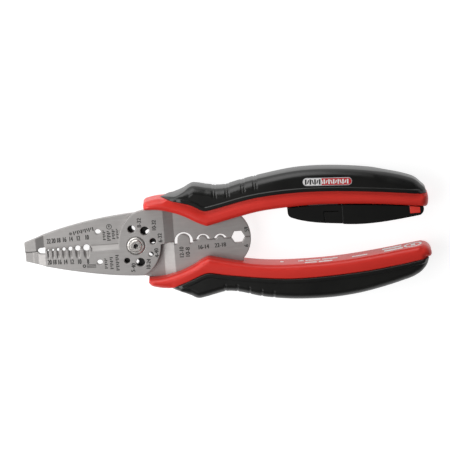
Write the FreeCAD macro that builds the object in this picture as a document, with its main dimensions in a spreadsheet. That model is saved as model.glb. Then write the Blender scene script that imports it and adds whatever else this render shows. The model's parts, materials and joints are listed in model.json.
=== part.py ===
import FreeCAD, Part
import math
import os
import Sketcher

# Combination wire stripper, crimper, cutter and screw shear with a live-wire detector in one handle.
#
# All outlines are drawn in the tool's own plan: the origin is on the pivot axis, midway between the
# two plates, the nose points along -X, the handles along +X and the detector handle is on the +Y side.
# Every sub-part carries the same Placement, which puts the finished tool on its side on a surface,
# with the origin at the middle of its footprint.

NOSE_X = -60.2            # tip of the jaws
HANDLE_END_X = 159.0      # far end of the handles
TOP_Y = 35.7              # highest point of the detector handle
BOTTOM_Y = -35.7          # lowest point of the plain handle

DIMENSIONS = {
    "PlateThickness": 3.0,
    "PlateGap": 0.1,               # sliding clearance between the two plates
    "GripThickness": 18.0,
    "PlaceX": -(NOSE_X + HANDLE_END_X) / 2,
    "PlaceY": -(TOP_Y + BOTTOM_Y) / 2,
    "BoltRadius": 2.75,
    "BoltBoreRadius": 2.8,
    "BoltHeadRadius": 4.65,
    "BoltHeadHeight": 0.95,
    "BoltHubRadius": 2.9,
    "BoltHubRise": 0.4,
    "BoltSocketRadius": 1.5,
    "BoltSocketDepth": 2.2,
    "BoltRecessRadius": 5.0,
    "BoltRecessDepth": 0.45,
    "WasherRadius": 4.9,
    "WasherThickness": 0.5,
    "NutRadius": 4.9,
    "NutHeight": 2.2,
    "LoopHoleRadius": 1.55,
    "ShearCircleRadius": 9.5,
    "ShearTurn": 30.0,             # opening angle at which the screw holes of both plates line up
    "CellRadius": 5.8,
    "CellLength": 5.4,
    "CellFirstX": 94.0,
    "CellAxisY": 15.75,
    "PocketHalfWidth": 6.3,
    "CoverHalfWidth": 7.5,
    "BoardHalfWidth": 5.6,
    "BoardThickness": 1.0,
    "BoardTopY": 16.6,
    "BuzzerRadius": 4.75,
    "BuzzerHeight": 4.2,
    "BuzzerX": 138.0,
    "ChipHeight": 1.4,
    "LampRadius": 1.5,
    "LampTipX": 150.8,
    "LampY": 13.0,
    "SpringWireRadius": 0.3,
    "SpringRadius": 3.4,
    "SpringTurns": 3.0,
    "SpringLength": 4.3,
    "ScrewX": 129.5,
    "ScrewRadius": 1.0,
    "ScrewHeadRadius": 2.1,
    "ScrewHeadHeight": 1.2,
    "BadgeLength": 26.6,
    "BadgeWidth": 4.4,
    "BadgeThickness": 0.5,
    "LeafThickness": 0.25,         # the sprung brass strips inside the detector
}

# Stripping stations along the jaws: wire gauge, place along the jaw, hole radius.
STRIP_STATIONS = [
    ("Twenty", -47.6, 0.42),
    ("Eighteen", -45.0, 0.56),
    ("Sixteen", -42.3, 0.73),
    ("Fourteen", -39.1, 0.88),
    ("Twelve", -35.6, 1.08),
    ("Ten", -31.6, 1.40),
    ("Eight", -26.9, 1.70),
]

# Screw-shearing holes round the pivot: thread, angle on the front plate, hole radius.
SHEAR_STATIONS = [
    ("EightThirtyTwo", 101.0, 2.085),
    ("TenThirtyTwo", 56.0, 2.415),
    ("SixThirtyTwo", 11.0, 1.75),
    ("FourForty", -34.0, 1.42),
    ("TenTwentyFour", -79.0, 2.415),
    ("FiveForty", -124.0, 1.59),
]

JAW_CENTRE_Y = 0.4        # the line on which wires lie when the jaws are shut
LOOP_HOLE_X = -20.1
LOOP_HOLE_RISE = 8.1      # the loop-bending holes are this far above and below the wire line
GROOVE_ANGLE = 36.0       # slope of the relief grooves outside the cutting edge
GROOVE_SHARE = 0.86       # groove radius as a share of its hole's radius
GROOVE_LAND = 0.3         # depth of the full hole left behind each groove

doc = FreeCAD.newDocument("WireStripper")
sheet = doc.addObject("Spreadsheet::Sheet", "Sizes")
for row, (alias, value) in enumerate(DIMENSIONS.items(), start=1):
    sheet.set("A%d" % row, alias)
    sheet.set("B%d" % row, "%g" % value)
    sheet.setAlias("B%d" % row, alias)
for offset, (word, station_x, radius) in enumerate(STRIP_STATIONS):
    sheet.set("D%d" % (offset + 1), "%g" % radius)
    sheet.setAlias("D%d" % (offset + 1), "Strip%sRadius" % word)
for offset, (word, angle, radius) in enumerate(SHEAR_STATIONS):
    sheet.set("F%d" % (offset + 1), "%g" % radius)
    sheet.setAlias("F%d" % (offset + 1), "Shear%sRadius" % word)
doc.recompute()

V = FreeCAD.Vector
SUBPARTS = []


def size(alias):
    """A driving dimension, read back from the sheet."""
    return float(sheet.get(alias))


def mirror(points):
    """The same points seen from the other side of the X axis."""
    return [(x, -y) for x, y in points]


# ---------------------------------------------------------------------------------------------------
# Sketch and feature helpers
# ---------------------------------------------------------------------------------------------------

def line(*points):
    """Straight edges through the points."""
    return ("line", points)


def arc(middle, end):
    """A circular arc from the last point through middle to end."""
    return ("arc", (middle, end))


def curve(*points):
    """A smooth curve from the last point through the points."""
    return ("curve", points)


def closed_path(start, *steps):
    """Edges of a closed outline, from start through each step and back to start."""
    edges = []
    here = V(start[0], start[1], 0)
    for kind, points in steps:
        ends = [V(x, y, 0) for x, y in points]
        if kind == "line":
            for end in ends:
                edges.append(Part.LineSegment(here, end))
                here = end
        elif kind == "arc":
            edges.append(Part.Arc(here, ends[0], ends[1]))
            here = ends[1]
        else:
            smooth = Part.BSplineCurve()
            smooth.interpolate([here] + ends)
            edges.append(smooth)
            here = ends[-1]
    first = V(start[0], start[1], 0)
    if (here - first).Length > 1e-6:
        edges.append(Part.LineSegment(here, first))
    return edges


def polygon(*points):
    """Edges of a closed straight-sided outline."""
    return closed_path(points[0], line(*points[1:]))


def rectangle(low_x, low_y, high_x, high_y):
    return polygon((low_x, low_y), (high_x, low_y), (high_x, high_y), (low_x, high_y))


def circle(centre_x, centre_y, radius):
    return [Part.Circle(V(centre_x, centre_y, 0), V(0, 0, 1), radius)]


def new_body(label):
    """An empty body at the tool's common placement."""
    body = doc.addObject("PartDesign::Body", label)
    body.Label = label
    place(body)
    SUBPARTS.append(body)
    return body


def place(piece):
    """Binds a sub-part's placement to the sheet."""
    piece.setExpression("Placement.Base.x", "Sizes.PlaceX")
    piece.setExpression("Placement.Base.y", "Sizes.PlaceY")
    piece.setExpression("Placement.Base.z", "Sizes.GripThickness / 2")


def sketch(body, name, edges, role="XY_Plane", offset=None):
    """A sketch of the edges on one of the body's origin planes."""
    drawn = body.newObject("Sketcher::SketchObject", name)
    plane = [item for item in body.Origin.OriginFeatures if item.Role == role][0]
    drawn.AttachmentSupport = [(plane, "")]
    drawn.MapMode = "FlatFace"
    if offset is not None:
        drawn.AttachmentOffset = offset
    for edge in edges:
        drawn.addGeometry(edge)
    return drawn


def bind_radius(drawn, index, alias):
    """Ties a sketched circle's radius to a cell of the sheet, with its centre held."""
    centre = drawn.Geometry[index].Center
    drawn.addConstraint(Sketcher.Constraint("DistanceX", -1, 1, index, 3, centre.x))
    drawn.addConstraint(Sketcher.Constraint("DistanceY", -1, 1, index, 3, centre.y))
    number = drawn.addConstraint(Sketcher.Constraint("Radius", index, drawn.Geometry[index].Radius))
    drawn.setExpression("Constraints[%d]" % number, "Sizes.%s" % alias)


def pad(body, drawn, length, both_ways=False, reverse=False):
    """Material along the sketch's normal; length is an expression of the sheet."""
    feature = body.newObject("PartDesign::Pad", drawn.Name + "Pad")
    feature.Profile = drawn
    feature.setExpression("Length", length)
    feature.SideType = "Symmetric" if both_ways else "One side"
    feature.Reversed = reverse
    doc.recompute()
    return feature


def pocket(body, drawn, length, both_ways=False, reverse=False):
    """A cut along the sketch's normal, checked to have taken material away."""
    before = body.Shape.Volume
    feature = body.newObject("PartDesign::Pocket", drawn.Name + "Pocket")
    feature.Profile = drawn
    feature.setExpression("Length", length)
    feature.SideType = "Symmetric" if both_ways else "One side"
    feature.Reversed = reverse
    doc.recompute()
    if body.Shape.Volume > before - 1e-3:
        raise RuntimeError("%s cuts nothing" % feature.Name)
    return feature


def revolve(body, drawn, axis_role):
    """A full turn of the sketch about one of the body's origin axes."""
    feature = body.newObject("PartDesign::Revolution", drawn.Name + "Turned")
    feature.Profile = drawn
    axis = [item for item in body.Origin.OriginFeatures if item.Role == axis_role][0]
    feature.ReferenceAxis = (axis, [""])
    feature.Angle = 360.0
    doc.recompute()
    return feature


def fillet_edges(body, radius, wanted, name):
    """Rounds the edges of the body's latest shape that wanted picks out."""
    base = body.Tip
    names = ["Edge%d" % (i + 1) for i, edge in enumerate(base.Shape.Edges) if wanted(edge)]
    feature = body.newObject("PartDesign::Fillet", name)
    feature.Base = (base, names)
    feature.Radius = radius
    doc.recompute()
    return feature


def box(name, low, high):
    """A plain block between two corners, given in the tool's plan."""
    block = doc.addObject("Part::Box", name)
    block.Length = high[0] - low[0]
    block.Width = high[1] - low[1]
    block.Height = high[2] - low[2]
    block.Placement.Base = V(*low)
    return block


def cylinder(name, start, direction, radius, length):
    """A round bar whose radius and length are expressions of the sheet."""
    bar = doc.addObject("Part::Cylinder", name)
    bar.setExpression("Radius", radius)
    bar.setExpression("Height", length)
    bar.Placement = FreeCAD.Placement(V(*start), FreeCAD.Rotation(V(0, 0, 1), V(*direction)))
    return bar


def fused(label, pieces):
    """Several solids made into one sub-part."""
    joined = doc.addObject("Part::MultiFuse", label)
    joined.Shapes = pieces
    joined.Refine = True
    joined.Label = label
    place(joined)
    SUBPARTS.append(joined)
    return joined


# ---------------------------------------------------------------------------------------------------
# Blades: one steel plate each, jogged so that both lie in one plane at the nose and at the crimper
# ---------------------------------------------------------------------------------------------------

HALF_PLATE = size("PlateThickness") / 2
HALF_GAP = size("PlateGap") / 2
STEP = HALF_PLATE + HALF_GAP          # how far each plate jogs from the middle plane
TANG_END_X = 80.0
CUTTER_START_X = -24.3
CUTTER_END_X = -9.3
SPLIT_GAP = 0.25                      # between the facing edges of the shut jaws
NOTCH_RADIUS = 1.6                    # wire-pulling notch behind the nose
NOTCH_X = -51.6
NOTCH_END_X = -49.2


def sheet_profile(side, nose_jog, crimp_jog):
    """Side view of one plate: side is +1 for the front plate and -1 for the rear one."""
    middle = [(NOSE_X - 1, 0), (nose_jog[0], 0), (nose_jog[1], side * STEP),
              (crimp_jog[0], side * STEP), (crimp_jog[1], 0), (TANG_END_X + 1, 0)]
    upper = [(x, z + HALF_PLATE) for x, z in middle]
    lower = [(x, z - HALF_PLATE) for x, z in reversed(middle)]
    return polygon(*(upper + lower))


def crimp_nests(edge_y, nests):
    """Bows of the crimping edge from left to right: each nest is start, top, end."""
    steps = []
    for start_x, top, end_x in nests:
        steps.append(line((start_x, edge_y)))
        steps.append(arc(top, (end_x, edge_y)))
    return steps


def blade(label, side, nose_jog, crimp_jog, outline):
    """A jogged plate, trimmed to its outline, with the holes that both plates share."""
    body = new_body(label)
    profile = sketch(body, label + "_profile", sheet_profile(side, nose_jog, crimp_jog), "XZ_Plane")
    pad(body, profile, "100 mm", both_ways=True)
    frame = rectangle(NOSE_X - 5, -60, TANG_END_X + 5, 60)
    trim = sketch(body, label + "_outline", frame + outline)
    pocket(body, trim, "40 mm", both_ways=True)
    strip_notches(body, label, side)
    cutter_bevel(body, label, side)
    shear_holes(body, label, side)
    return body


def strip_notches(body, label, side):
    """Round stripping notches with open relief grooves that slope away from the cutting edge."""
    slope = math.radians(GROOVE_ANGLE)
    holes = []
    grooves = []
    for word, station_x, radius in STRIP_STATIONS:
        holes += circle(station_x, JAW_CENTRE_Y, radius)
        share = GROOVE_SHARE * radius
        floor = (side * JAW_CENTRE_Y - radius) * math.sin(slope) + (HALF_GAP + GROOVE_LAND) * math.cos(slope)
        grooves += closed_path((station_x + share, floor + 9), line((station_x - share, floor + 9),
                                                                    (station_x - share, floor + share)),
                               arc((station_x, floor), (station_x + share, floor + share)))
    drawn = sketch(body, label + "_strip_holes", holes)
    for index, (word, station_x, radius) in enumerate(STRIP_STATIONS):
        bind_radius(drawn, index, "Strip%sRadius" % word)
    pocket(body, drawn, "20 mm", both_ways=True)
    tilt = 90 - GROOVE_ANGLE if side > 0 else 270 - GROOVE_ANGLE
    slanted = FreeCAD.Placement(V(), FreeCAD.Rotation(V(1, 0, 0), tilt))
    pocket(body, sketch(body, label + "_grooves", grooves, offset=slanted), "16 mm", both_ways=True)


def cutter_bevel(body, label, side):
    """The long ground bevel of the wire cutter."""
    edge_y = JAW_CENTRE_Y + side * 0.9
    root_y = JAW_CENTRE_Y - side * 1.9
    face_z = side * (STEP + HALF_PLATE)
    wedge = polygon((edge_y, side * 0.4), (root_y, face_z), (edge_y, face_z + side))
    lift = FreeCAD.Placement(V(0, 0, CUTTER_START_X), FreeCAD.Rotation())
    drawn = sketch(body, label + "_bevel", wedge, "YZ_Plane", lift)
    pocket(body, drawn, "%g mm" % (CUTTER_END_X - CUTTER_START_X), reverse=True)


def shear_holes(body, label, side):
    """The ring of screw-shearing holes and the loop-bending hole in the jaw."""
    turn = 0 if side > 0 else size("ShearTurn")
    reach = size("ShearCircleRadius")
    holes = []
    for word, angle, radius in SHEAR_STATIONS:
        way = math.radians(angle + turn)
        holes += circle(reach * math.cos(way), reach * math.sin(way), radius)
    holes += circle(LOOP_HOLE_X, JAW_CENTRE_Y - side * LOOP_HOLE_RISE, size("LoopHoleRadius"))
    drawn = sketch(body, label + "_screw_holes", holes)
    for index, (word, angle, radius) in enumerate(SHEAR_STATIONS):
        bind_radius(drawn, index, "Shear%sRadius" % word)
    bind_radius(drawn, len(SHEAR_STATIONS), "LoopHoleRadius")
    pocket(body, drawn, "20 mm", both_ways=True)


UPPER_EDGE_Y = 0.17 + SPLIT_GAP
LOWER_EDGE_Y = 0.17

front_outline = closed_path(
    (NOSE_X + 0.2, 0.1),
    line((NOSE_X + 0.2, -4.7)),
    curve((-53.1, -6.8), (-43.1, -9.5), (-30.0, -12.4), (-13.6, -15.2), (3.6, -16.7)),   # back of the jaw
    arc((10.4, -10.3), (13.4, -1.2)),                      # free edge of the pivot disc
    line((13.6, -0.2), (18.1, UPPER_EDGE_Y)),
    *crimp_nests(UPPER_EDGE_Y, [(20.9, (25.8, 5.3), 30.7), (32.6, (36.25, 3.6), 39.9),
                                (42.2, (45.65, 3.0), 49.1)]),
    line((51.6, UPPER_EDGE_Y), (53.4, 3.8), (57.2, 3.8), (59.0, UPPER_EDGE_Y), (62.2, UPPER_EDGE_Y)),
    arc((60.98, 6.56), (57.6, 11.8)),                      # rounded end of the crimper
    line((57.3, 14.8), (66.0, 17.0), (TANG_END_X, 18.6), (TANG_END_X, 22.0)),
    line((66.0, 20.8), (56.0, 18.8), (38.6, 15.4), (30.0, 18.8), (21.0, 22.2), (12.0, 23.2)),
    line((9.4, 19.1)),
    arc((3.5, 18.9), (-0.6, 17.5)),                        # top of the pivot disc
    arc((-7.4, 9.6), (CUTTER_END_X, 1.2)),
    line((CUTTER_START_X, 1.2), (CUTTER_START_X, JAW_CENTRE_Y + 0.2), (NOTCH_END_X, JAW_CENTRE_Y + 0.2)),
    line((NOTCH_END_X, JAW_CENTRE_Y - NOTCH_RADIUS), (NOTCH_X, JAW_CENTRE_Y - NOTCH_RADIUS)),
    arc((-52.73, -0.73), (-53.17, 0.1)),
)

rear_outline = closed_path(
    (NOSE_X, 0.35),
    line((-53.2, 0.35)),
    arc((-52.73, 1.53), (NOTCH_X, JAW_CENTRE_Y + NOTCH_RADIUS)),
    line((NOTCH_END_X, JAW_CENTRE_Y + NOTCH_RADIUS), (NOTCH_END_X, JAW_CENTRE_Y - 0.2)),
    line((CUTTER_START_X, JAW_CENTRE_Y - 0.2), (CUTTER_START_X, -0.4), (CUTTER_END_X, -0.4)),
    arc((-7.4, -8.6), (-0.8, -16.0)),                      # pivot disc, hidden behind the lower jaw
    line((4.8, -17.7), (8.0, -19.0), (12.0, -21.8), (21.0, -21.0), (29.0, -17.8), (38.2, -14.4)),
    line((56.0, -18.0), (TANG_END_X, -20.8), (TANG_END_X, -18.2), (57.3, -15.4), (57.4, -11.5)),
    arc((60.98, -5.96), (62.2, LOWER_EDGE_Y)),
    line((59.0, LOWER_EDGE_Y), (57.2, -2.8), (53.4, -2.8), (51.6, LOWER_EDGE_Y)),
    *crimp_nests(LOWER_EDGE_Y, [(47.7, (45.65, 1.8), 43.6), (38.7, (36.25, 2.5), 33.8)]),
    line((30.7, LOWER_EDGE_Y), (30.7, -1.3), (29.25, -1.3), (29.25, 0.55)),
    arc((25.8, 4.0), (22.35, 0.55)),                       # anvil of the widest nest
    line((22.35, -1.3), (20.9, -1.3), (20.9, LOWER_EDGE_Y), (18.1, LOWER_EDGE_Y), (14.8, -0.45)),
    line((13.5, -0.5), (13.4, 1.2)),
    arc((10.4, 10.3), (3.6, 16.7)),
    line((2.5, 17.4)),
    arc((-28.5, 13.9), (NOSE_X, 5.4)),                     # back of the upper jaw
)

front_blade = blade("front_blade", 1, (-53.0, -49.4), (15.6, 20.8), front_outline)
nose_level = FreeCAD.Placement(V(0, 0, HALF_PLATE), FreeCAD.Rotation())
nose_flat = sketch(front_blade, "nose_flat", rectangle(NOSE_X - 1, -8, -55.7, 2), offset=nose_level)
pocket(front_blade, nose_flat, "0.2 mm")                   # ground flat at the tip of the lower jaw
recess = sketch(front_blade, "front_blade_recess", circle(0, 0, size("BoltRecessRadius")),
                offset=FreeCAD.Placement(V(0, 0, STEP + HALF_PLATE), FreeCAD.Rotation()))
bind_radius(recess, 0, "BoltRecessRadius")
pocket(front_blade, recess, "Sizes.BoltRecessDepth")
front_bore = sketch(front_blade, "front_blade_bore", circle(0, 0, size("BoltBoreRadius")))
bind_radius(front_bore, 0, "BoltBoreRadius")
pocket(front_blade, front_bore, "20 mm", both_ways=True)

rear_blade = blade("rear_blade", -1, (-54.1, -49.8), (14.8, 20.4), rear_outline)
rear_bore = sketch(rear_blade, "rear_blade_bore", circle(0, 0, size("BoltRadius")))
bind_radius(rear_bore, 0, "BoltRadius")
pocket(rear_blade, rear_bore, "20 mm", both_ways=True)

# ---------------------------------------------------------------------------------------------------
# Pivot: bolt with a flanged head and socket, washer and nut
# ---------------------------------------------------------------------------------------------------

HEAD_Z = STEP + HALF_PLATE - size("BoltRecessDepth") + 0.05
REAR_FACE_Z = -(STEP + HALF_PLATE)
NUT_TOP_Z = REAR_FACE_Z - size("WasherThickness")
NUT_BOTTOM_Z = NUT_TOP_Z - size("NutHeight")


def hexagon(radius):
    """A regular hexagon about the origin."""
    corners = [math.radians(60 * k + 30) for k in range(6)]
    return polygon(*[(radius * math.cos(a), radius * math.sin(a)) for a in corners])


def make_bolt():
    head, hub, shank = size("BoltHeadRadius"), size("BoltHubRadius"), size("BoltRadius")
    rim_z = HEAD_Z + size("BoltHeadHeight") - 0.35
    face_z = HEAD_Z + size("BoltHeadHeight")
    body = new_body("pivot_bolt")
    half = polygon((0, NUT_BOTTOM_Z), (shank, NUT_BOTTOM_Z), (shank, HEAD_Z), (head, HEAD_Z),
                   (head, rim_z), (head - 0.5, face_z), (hub + 0.4, face_z),
                   (hub, face_z + size("BoltHubRise")), (0, face_z + size("BoltHubRise")))
    revolve(body, sketch(body, "bolt_half", half, "XZ_Plane"), "Z_Axis")
    top = FreeCAD.Placement(V(0, 0, face_z + size("BoltHubRise")), FreeCAD.Rotation())
    socket = sketch(body, "bolt_socket", hexagon(size("BoltSocketRadius")), offset=top)
    pocket(body, socket, "Sizes.BoltSocketDepth")


def make_washer_and_nut():
    washer = new_body("pivot_washer")
    level = FreeCAD.Placement(V(0, 0, REAR_FACE_Z), FreeCAD.Rotation())
    ring = sketch(washer, "washer_ring",
                  circle(0, 0, size("WasherRadius")) + circle(0, 0, size("BoltBoreRadius")), offset=level)
    bind_radius(ring, 0, "WasherRadius")
    bind_radius(ring, 1, "BoltBoreRadius")
    pad(washer, ring, "Sizes.WasherThickness", reverse=True)
    nut = new_body("pivot_nut")
    level = FreeCAD.Placement(V(0, 0, NUT_TOP_Z), FreeCAD.Rotation())
    drawn = hexagon(size("NutRadius")) + circle(0, 0, size("BoltRadius"))
    hexed = sketch(nut, "nut_hexagon", drawn, offset=level)
    bind_radius(hexed, 6, "BoltRadius")
    pad(nut, hexed, "Sizes.NutHeight", reverse=True)


make_bolt()
make_washer_and_nut()

# ---------------------------------------------------------------------------------------------------
# Handles: a hard core moulded round each tang, and a soft grip on its back
# ---------------------------------------------------------------------------------------------------

upper_seam = [(15.2, 25.8), (31.4, 21.1), (36.8, 18.0), (38.9, 17.4)]
upper_seam_sweep = [(45.0, 18.6), (64.7, 22.6), (86.1, 24.1), (107.0, 23.6), (132.8, 21.3), (158.0, 18.2)]
upper_inner_sweep = [(132.3, 14.2), (114.8, 15.6), (97.3, 16.4), (83.1, 16.0), (68.2, 14.9), (58.3, 13.1),
                     (45.9, 10.3), (39.1, 8.7)]
upper_back = [(19.3, 26.4), (22.8, 26.5), (27.5, 28.4), (32.4, 31.0), (40.0, 29.8), (48.5, 28.8),
              (58.6, 30.9), (71.0, 33.2), (86.9, 35.4), (98.7, TOP_Y), (113.3, 34.8), (127.8, 32.9),
              (139.4, 30.4), (147.0, 28.2), (152.2, 26.0), (155.6, 22.8), (157.5, 20.4), (158.0, 18.2)]
lower_seam = [(15.7, -24.2), (27.8, -20.2), (36.4, -16.9), (39.2, -16.7)]
lower_seam_sweep = [(47.3, -18.4), (76.3, -22.6), (92.8, -23.2), (120.5, -21.9), (142.8, -19.3),
                    (157.6, -16.8)]
lower_inner_sweep = [(144.2, -11.8), (132.0, -13.1), (110.0, -15.2), (93.0, -15.7), (72.0, -15.0),
                     (57.0, -12.8), (47.0, -10.6), (38.6, -8.5)]
lower_back = [(23.0, -26.4), (31.5, -30.9), (40.3, -29.4), (47.1, -28.1), (53.8, -28.9), (65.6, -32.3),
              (80.9, -34.8), (97.0, BOTTOM_Y), (108.5, -35.4), (119.7, -34.0), (130.9, -31.6),
              (142.2, -28.6), (148.9, -26.3), (152.6, -23.9), (155.2, -20.9), (157.6, -16.8)]


def handle_piece(label, outline):
    """A handle moulding of the full grip thickness."""
    body = new_body(label)
    pad(body, sketch(body, label + "_outline", outline), "Sizes.GripThickness", both_ways=True)
    return body


upper_core = handle_piece("upper_handle_core", closed_path(
    (5.8, 23.8), arc((6.2, 24.6), (7.4, 24.9)), line(*upper_seam), curve(*upper_seam_sweep),
    arc((HANDLE_END_X, 14.0), (157.6, 11.2)), curve(*upper_inner_sweep),
    line((33.6, 11.2), (27.8, 14.6), (21.9, 17.2), (14.6, 19.3), (5.9, 20.2))))
upper_grip = handle_piece("upper_grip", closed_path(
    upper_seam[0], curve(*upper_back), curve(*(upper_seam_sweep[-2::-1] + [upper_seam[-1]])),
    line(*upper_seam[-2::-1])))
lower_core = handle_piece("lower_handle_core", closed_path(
    (6.3, -18.2), line((5.7, -18.9), (5.9, -21.1)), arc((6.5, -22.2), (8.4, -22.9)), line(*lower_seam),
    curve(*lower_seam_sweep), arc((158.5, -13.6), (154.6, -10.6)), curve(*lower_inner_sweep),
    line((36.6, -8.9), (34.5, -10.2), (31.9, -11.9), (27.6, -14.0), (23.4, -15.6), (19.5, -16.7),
         (15.3, -17.8), (11.1, -18.2))))
lower_grip = handle_piece("lower_grip", closed_path(
    lower_seam[0], curve(*lower_back), curve(*(lower_seam_sweep[-2::-1] + [lower_seam[-1]])),
    line(*lower_seam[-2::-1])))


GRIP_EDGE_RADIUS = 4.0


def side_edges(away_from):
    """Picks the edges of both side faces that don't run along the points away_from."""
    seam = Part.makePolygon([V(x, y, 0) for x, y in away_from])

    def wanted(edge):
        if edge.BoundBox.ZLength > 1e-6:
            return False
        middle = edge.valueAt((edge.FirstParameter + edge.LastParameter) / 2)
        return seam.distToShape(Part.Vertex(V(middle.x, middle.y, 0)))[0] > 0.5
    return wanted


fillet_edges(upper_grip, GRIP_EDGE_RADIUS, side_edges(upper_seam + upper_seam_sweep), "upper_grip_rounding")
fillet_edges(lower_grip, GRIP_EDGE_RADIUS, side_edges(lower_seam + lower_seam_sweep), "lower_grip_rounding")

# Slots in the cores for the tangs. Near the pivot they are deeper, where the plate jogs.
SLOT_CLEARANCE = 0.02
tang_slot = polygon((5, 17), (9.0, 17), (39, 8), (58, 11), (58, 14.9), (66, 16.9), (TANG_END_X + 0.1, 18.5),
                    (TANG_END_X + 0.1, 22.05), (66, 20.9), (56, 18.9), (38.6, 15.5), (30, 18.9),
                    (21, 22.3), (12, 23.3), (5, 23.3))
pocket(upper_core, sketch(upper_core, "upper_tang_slot", tang_slot),
       "Sizes.PlateThickness + %g" % (2 * SLOT_CLEARANCE), both_ways=True)
jog_slot = rectangle(4, 15, 21.2, 23.3)
front_level = FreeCAD.Placement(V(0, 0, STEP + HALF_PLATE + SLOT_CLEARANCE), FreeCAD.Rotation())
pocket(upper_core, sketch(upper_core, "upper_jog_slot", jog_slot, offset=front_level), "3 mm")

lower_slot = polygon((5, -15), (39, -5), (58, -9), (58, -15.3), (TANG_END_X + 0.1, -18.1),
                     (TANG_END_X + 0.1, -20.9), (56, -18.1), (38.2, -14.5), (29, -17.9), (21, -21.1),
                     (12, -21.9), (7.9, -19.1), (4, -17.8))
pocket(lower_core, sketch(lower_core, "lower_tang_slot", lower_slot),
       "Sizes.PlateThickness + %g" % (2 * SLOT_CLEARANCE), both_ways=True)
rear_jog_slot = polygon((4, -15), (21.2, -14), (21.2, -21.9), (12, -21.9), (7.9, -19.1), (4, -17.8))
rear_level = FreeCAD.Placement(V(0, 0, -(STEP + HALF_PLATE + SLOT_CLEARANCE)), FreeCAD.Rotation())
pocket(lower_core, sketch(lower_core, "lower_jog_slot", rear_jog_slot, offset=rear_level), "3 mm",
       reverse=True)

# ---------------------------------------------------------------------------------------------------
# Detector compartment in the upper core: cells on the left, circuit board on the right
# ---------------------------------------------------------------------------------------------------

POCKET_LEFT_X = 86.0
PARTITION_X = 111.0
BOARD_BAY_X = 112.2
BAY_END_X = 154.0
CELL_ROOF_Y = 21.8

cell_bay = rectangle(POCKET_LEFT_X, 5, PARTITION_X, CELL_ROOF_Y)
board_bay = polygon((BOARD_BAY_X, 5), (BOARD_BAY_X, 20.4), (140.0, 18.4), (BAY_END_X, 16.4), (BAY_END_X, 5))
pocket(upper_core, sketch(upper_core, "cell_bay", cell_bay), "2 * Sizes.PocketHalfWidth", both_ways=True)
pocket(upper_core, sketch(upper_core, "board_bay", board_bay), "2 * Sizes.PocketHalfWidth", both_ways=True)
strip_channel = polygon((78.4, CELL_ROOF_Y - 0.1), (78.4, 22.35), (116.2, 22.35), (116.2, 19.0),
                        (PARTITION_X - 0.5, 19.0), (PARTITION_X - 0.5, CELL_ROOF_Y - 0.1))
pocket(upper_core, sketch(upper_core, "strip_channel", strip_channel), "4 mm", both_ways=True)
contact_notch = rectangle(PARTITION_X - 0.5, 10, BOARD_BAY_X + 0.5, 17.7)
pocket(upper_core, sketch(upper_core, "contact_notch", contact_notch), "6.4 mm", both_ways=True)
side_level = FreeCAD.Placement(V(0, 0, size("PocketHalfWidth")), FreeCAD.Rotation())
side_notch = rectangle(PARTITION_X - 0.5, 17.3, BOARD_BAY_X + 0.5, 19.7)
pocket(upper_core, sketch(upper_core, "side_notch", side_notch, offset=side_level), "0.6 mm")
boss_level = FreeCAD.Placement(V(0, 0, -8.2), FreeCAD.Rotation())
boss = sketch(upper_core, "screw_boss", circle(size("ScrewX"), 0, 2.2), "XZ_Plane", boss_level)
pad(upper_core, boss, "11.4 mm", reverse=True)
boss_bore = sketch(upper_core, "screw_bore", circle(size("ScrewX"), 0, size("ScrewRadius")), "XZ_Plane",
                   boss_level)
bind_radius(boss_bore, 0, "ScrewRadius")
pocket(upper_core, boss_bore, "7 mm")

# Battery door: a shell that pulls straight off the cells, with a hook and two snap tongues
DOOR_RIGHT_X = 112.1
door = new_body("battery_door")
door_outline = closed_path(
    (82.8, 15.6), line((82.9, 13.2)), arc((83.5, 11.4), (85.0, 10.3)),
    curve((91.6, 8.1), (102.4, 6.2), (DOOR_RIGHT_X, 5.2)), line((DOOR_RIGHT_X, 15.4)),
    curve((97.3, 16.0), (90.0, 15.95), (82.8, 15.6)))
pad(door, sketch(door, "door_outline", door_outline), "2 * Sizes.CoverHalfWidth", both_ways=True)
door_hollow = closed_path(
    (84.7, 18.0), line((84.7, 13.4)), arc((84.9, 12.6), (85.7, 12.1)),
    curve((91.0, 10.2), (102.6, 7.9), (DOOR_RIGHT_X + 1, 6.9)), line((DOOR_RIGHT_X + 1, 18.0)))
pocket(door, sketch(door, "door_hollow", door_hollow), "2 * Sizes.PocketHalfWidth", both_ways=True)
tongue_slits = polygon((102.2, 7.4), (102.6, 7.4), (102.6, 12.2), (110.6, 11.9), (110.6, 12.3), (102.2, 12.6))
pocket(door, sketch(door, "tongue_slits", tongue_slits), "20 mm", both_ways=True)
hook = polygon((86.3, 11.2), (87.7, 10.8), (87.7, 19.0), (86.3, 19.0))
pad(door, sketch(door, "door_hook", hook), "8 mm", both_ways=True)

# Detector cover: the fixed shell over the board, with a screw post and a window for the lens
cover = new_body("detector_cover")
cover_outline = closed_path(
    (112.4, 15.4), line((112.4, 4.9)), curve((119.8, 4.3), (128.6, 4.3), (140.4, 5.2), (154.0, 6.9)),
    arc((155.5, 8.2), (156.1, 11.0)), curve((132.3, 13.85), (112.4, 15.4)))
pad(cover, sketch(cover, "cover_outline", cover_outline), "2 * Sizes.CoverHalfWidth", both_ways=True)
cover_hollow = closed_path(
    (113.8, 18.0), line((113.8, 6.6)), curve((119.8, 5.9), (128.6, 5.9), (140.4, 6.7), (148.4, 7.6)),
    line((155.1, 8.1), (155.1, 18.0)))
pocket(cover, sketch(cover, "cover_hollow", cover_hollow), "12.2 mm", both_ways=True)
lip = rectangle(DOOR_RIGHT_X - 0.6, 7.2, 112.5, 12.0)      # closes the slit between door and cover
pad(cover, sketch(cover, "cover_lip", lip), "12.2 mm", both_ways=True)
LENS_LEFT_X = 148.6
LENS_RIGHT_X = 154.1
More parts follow.
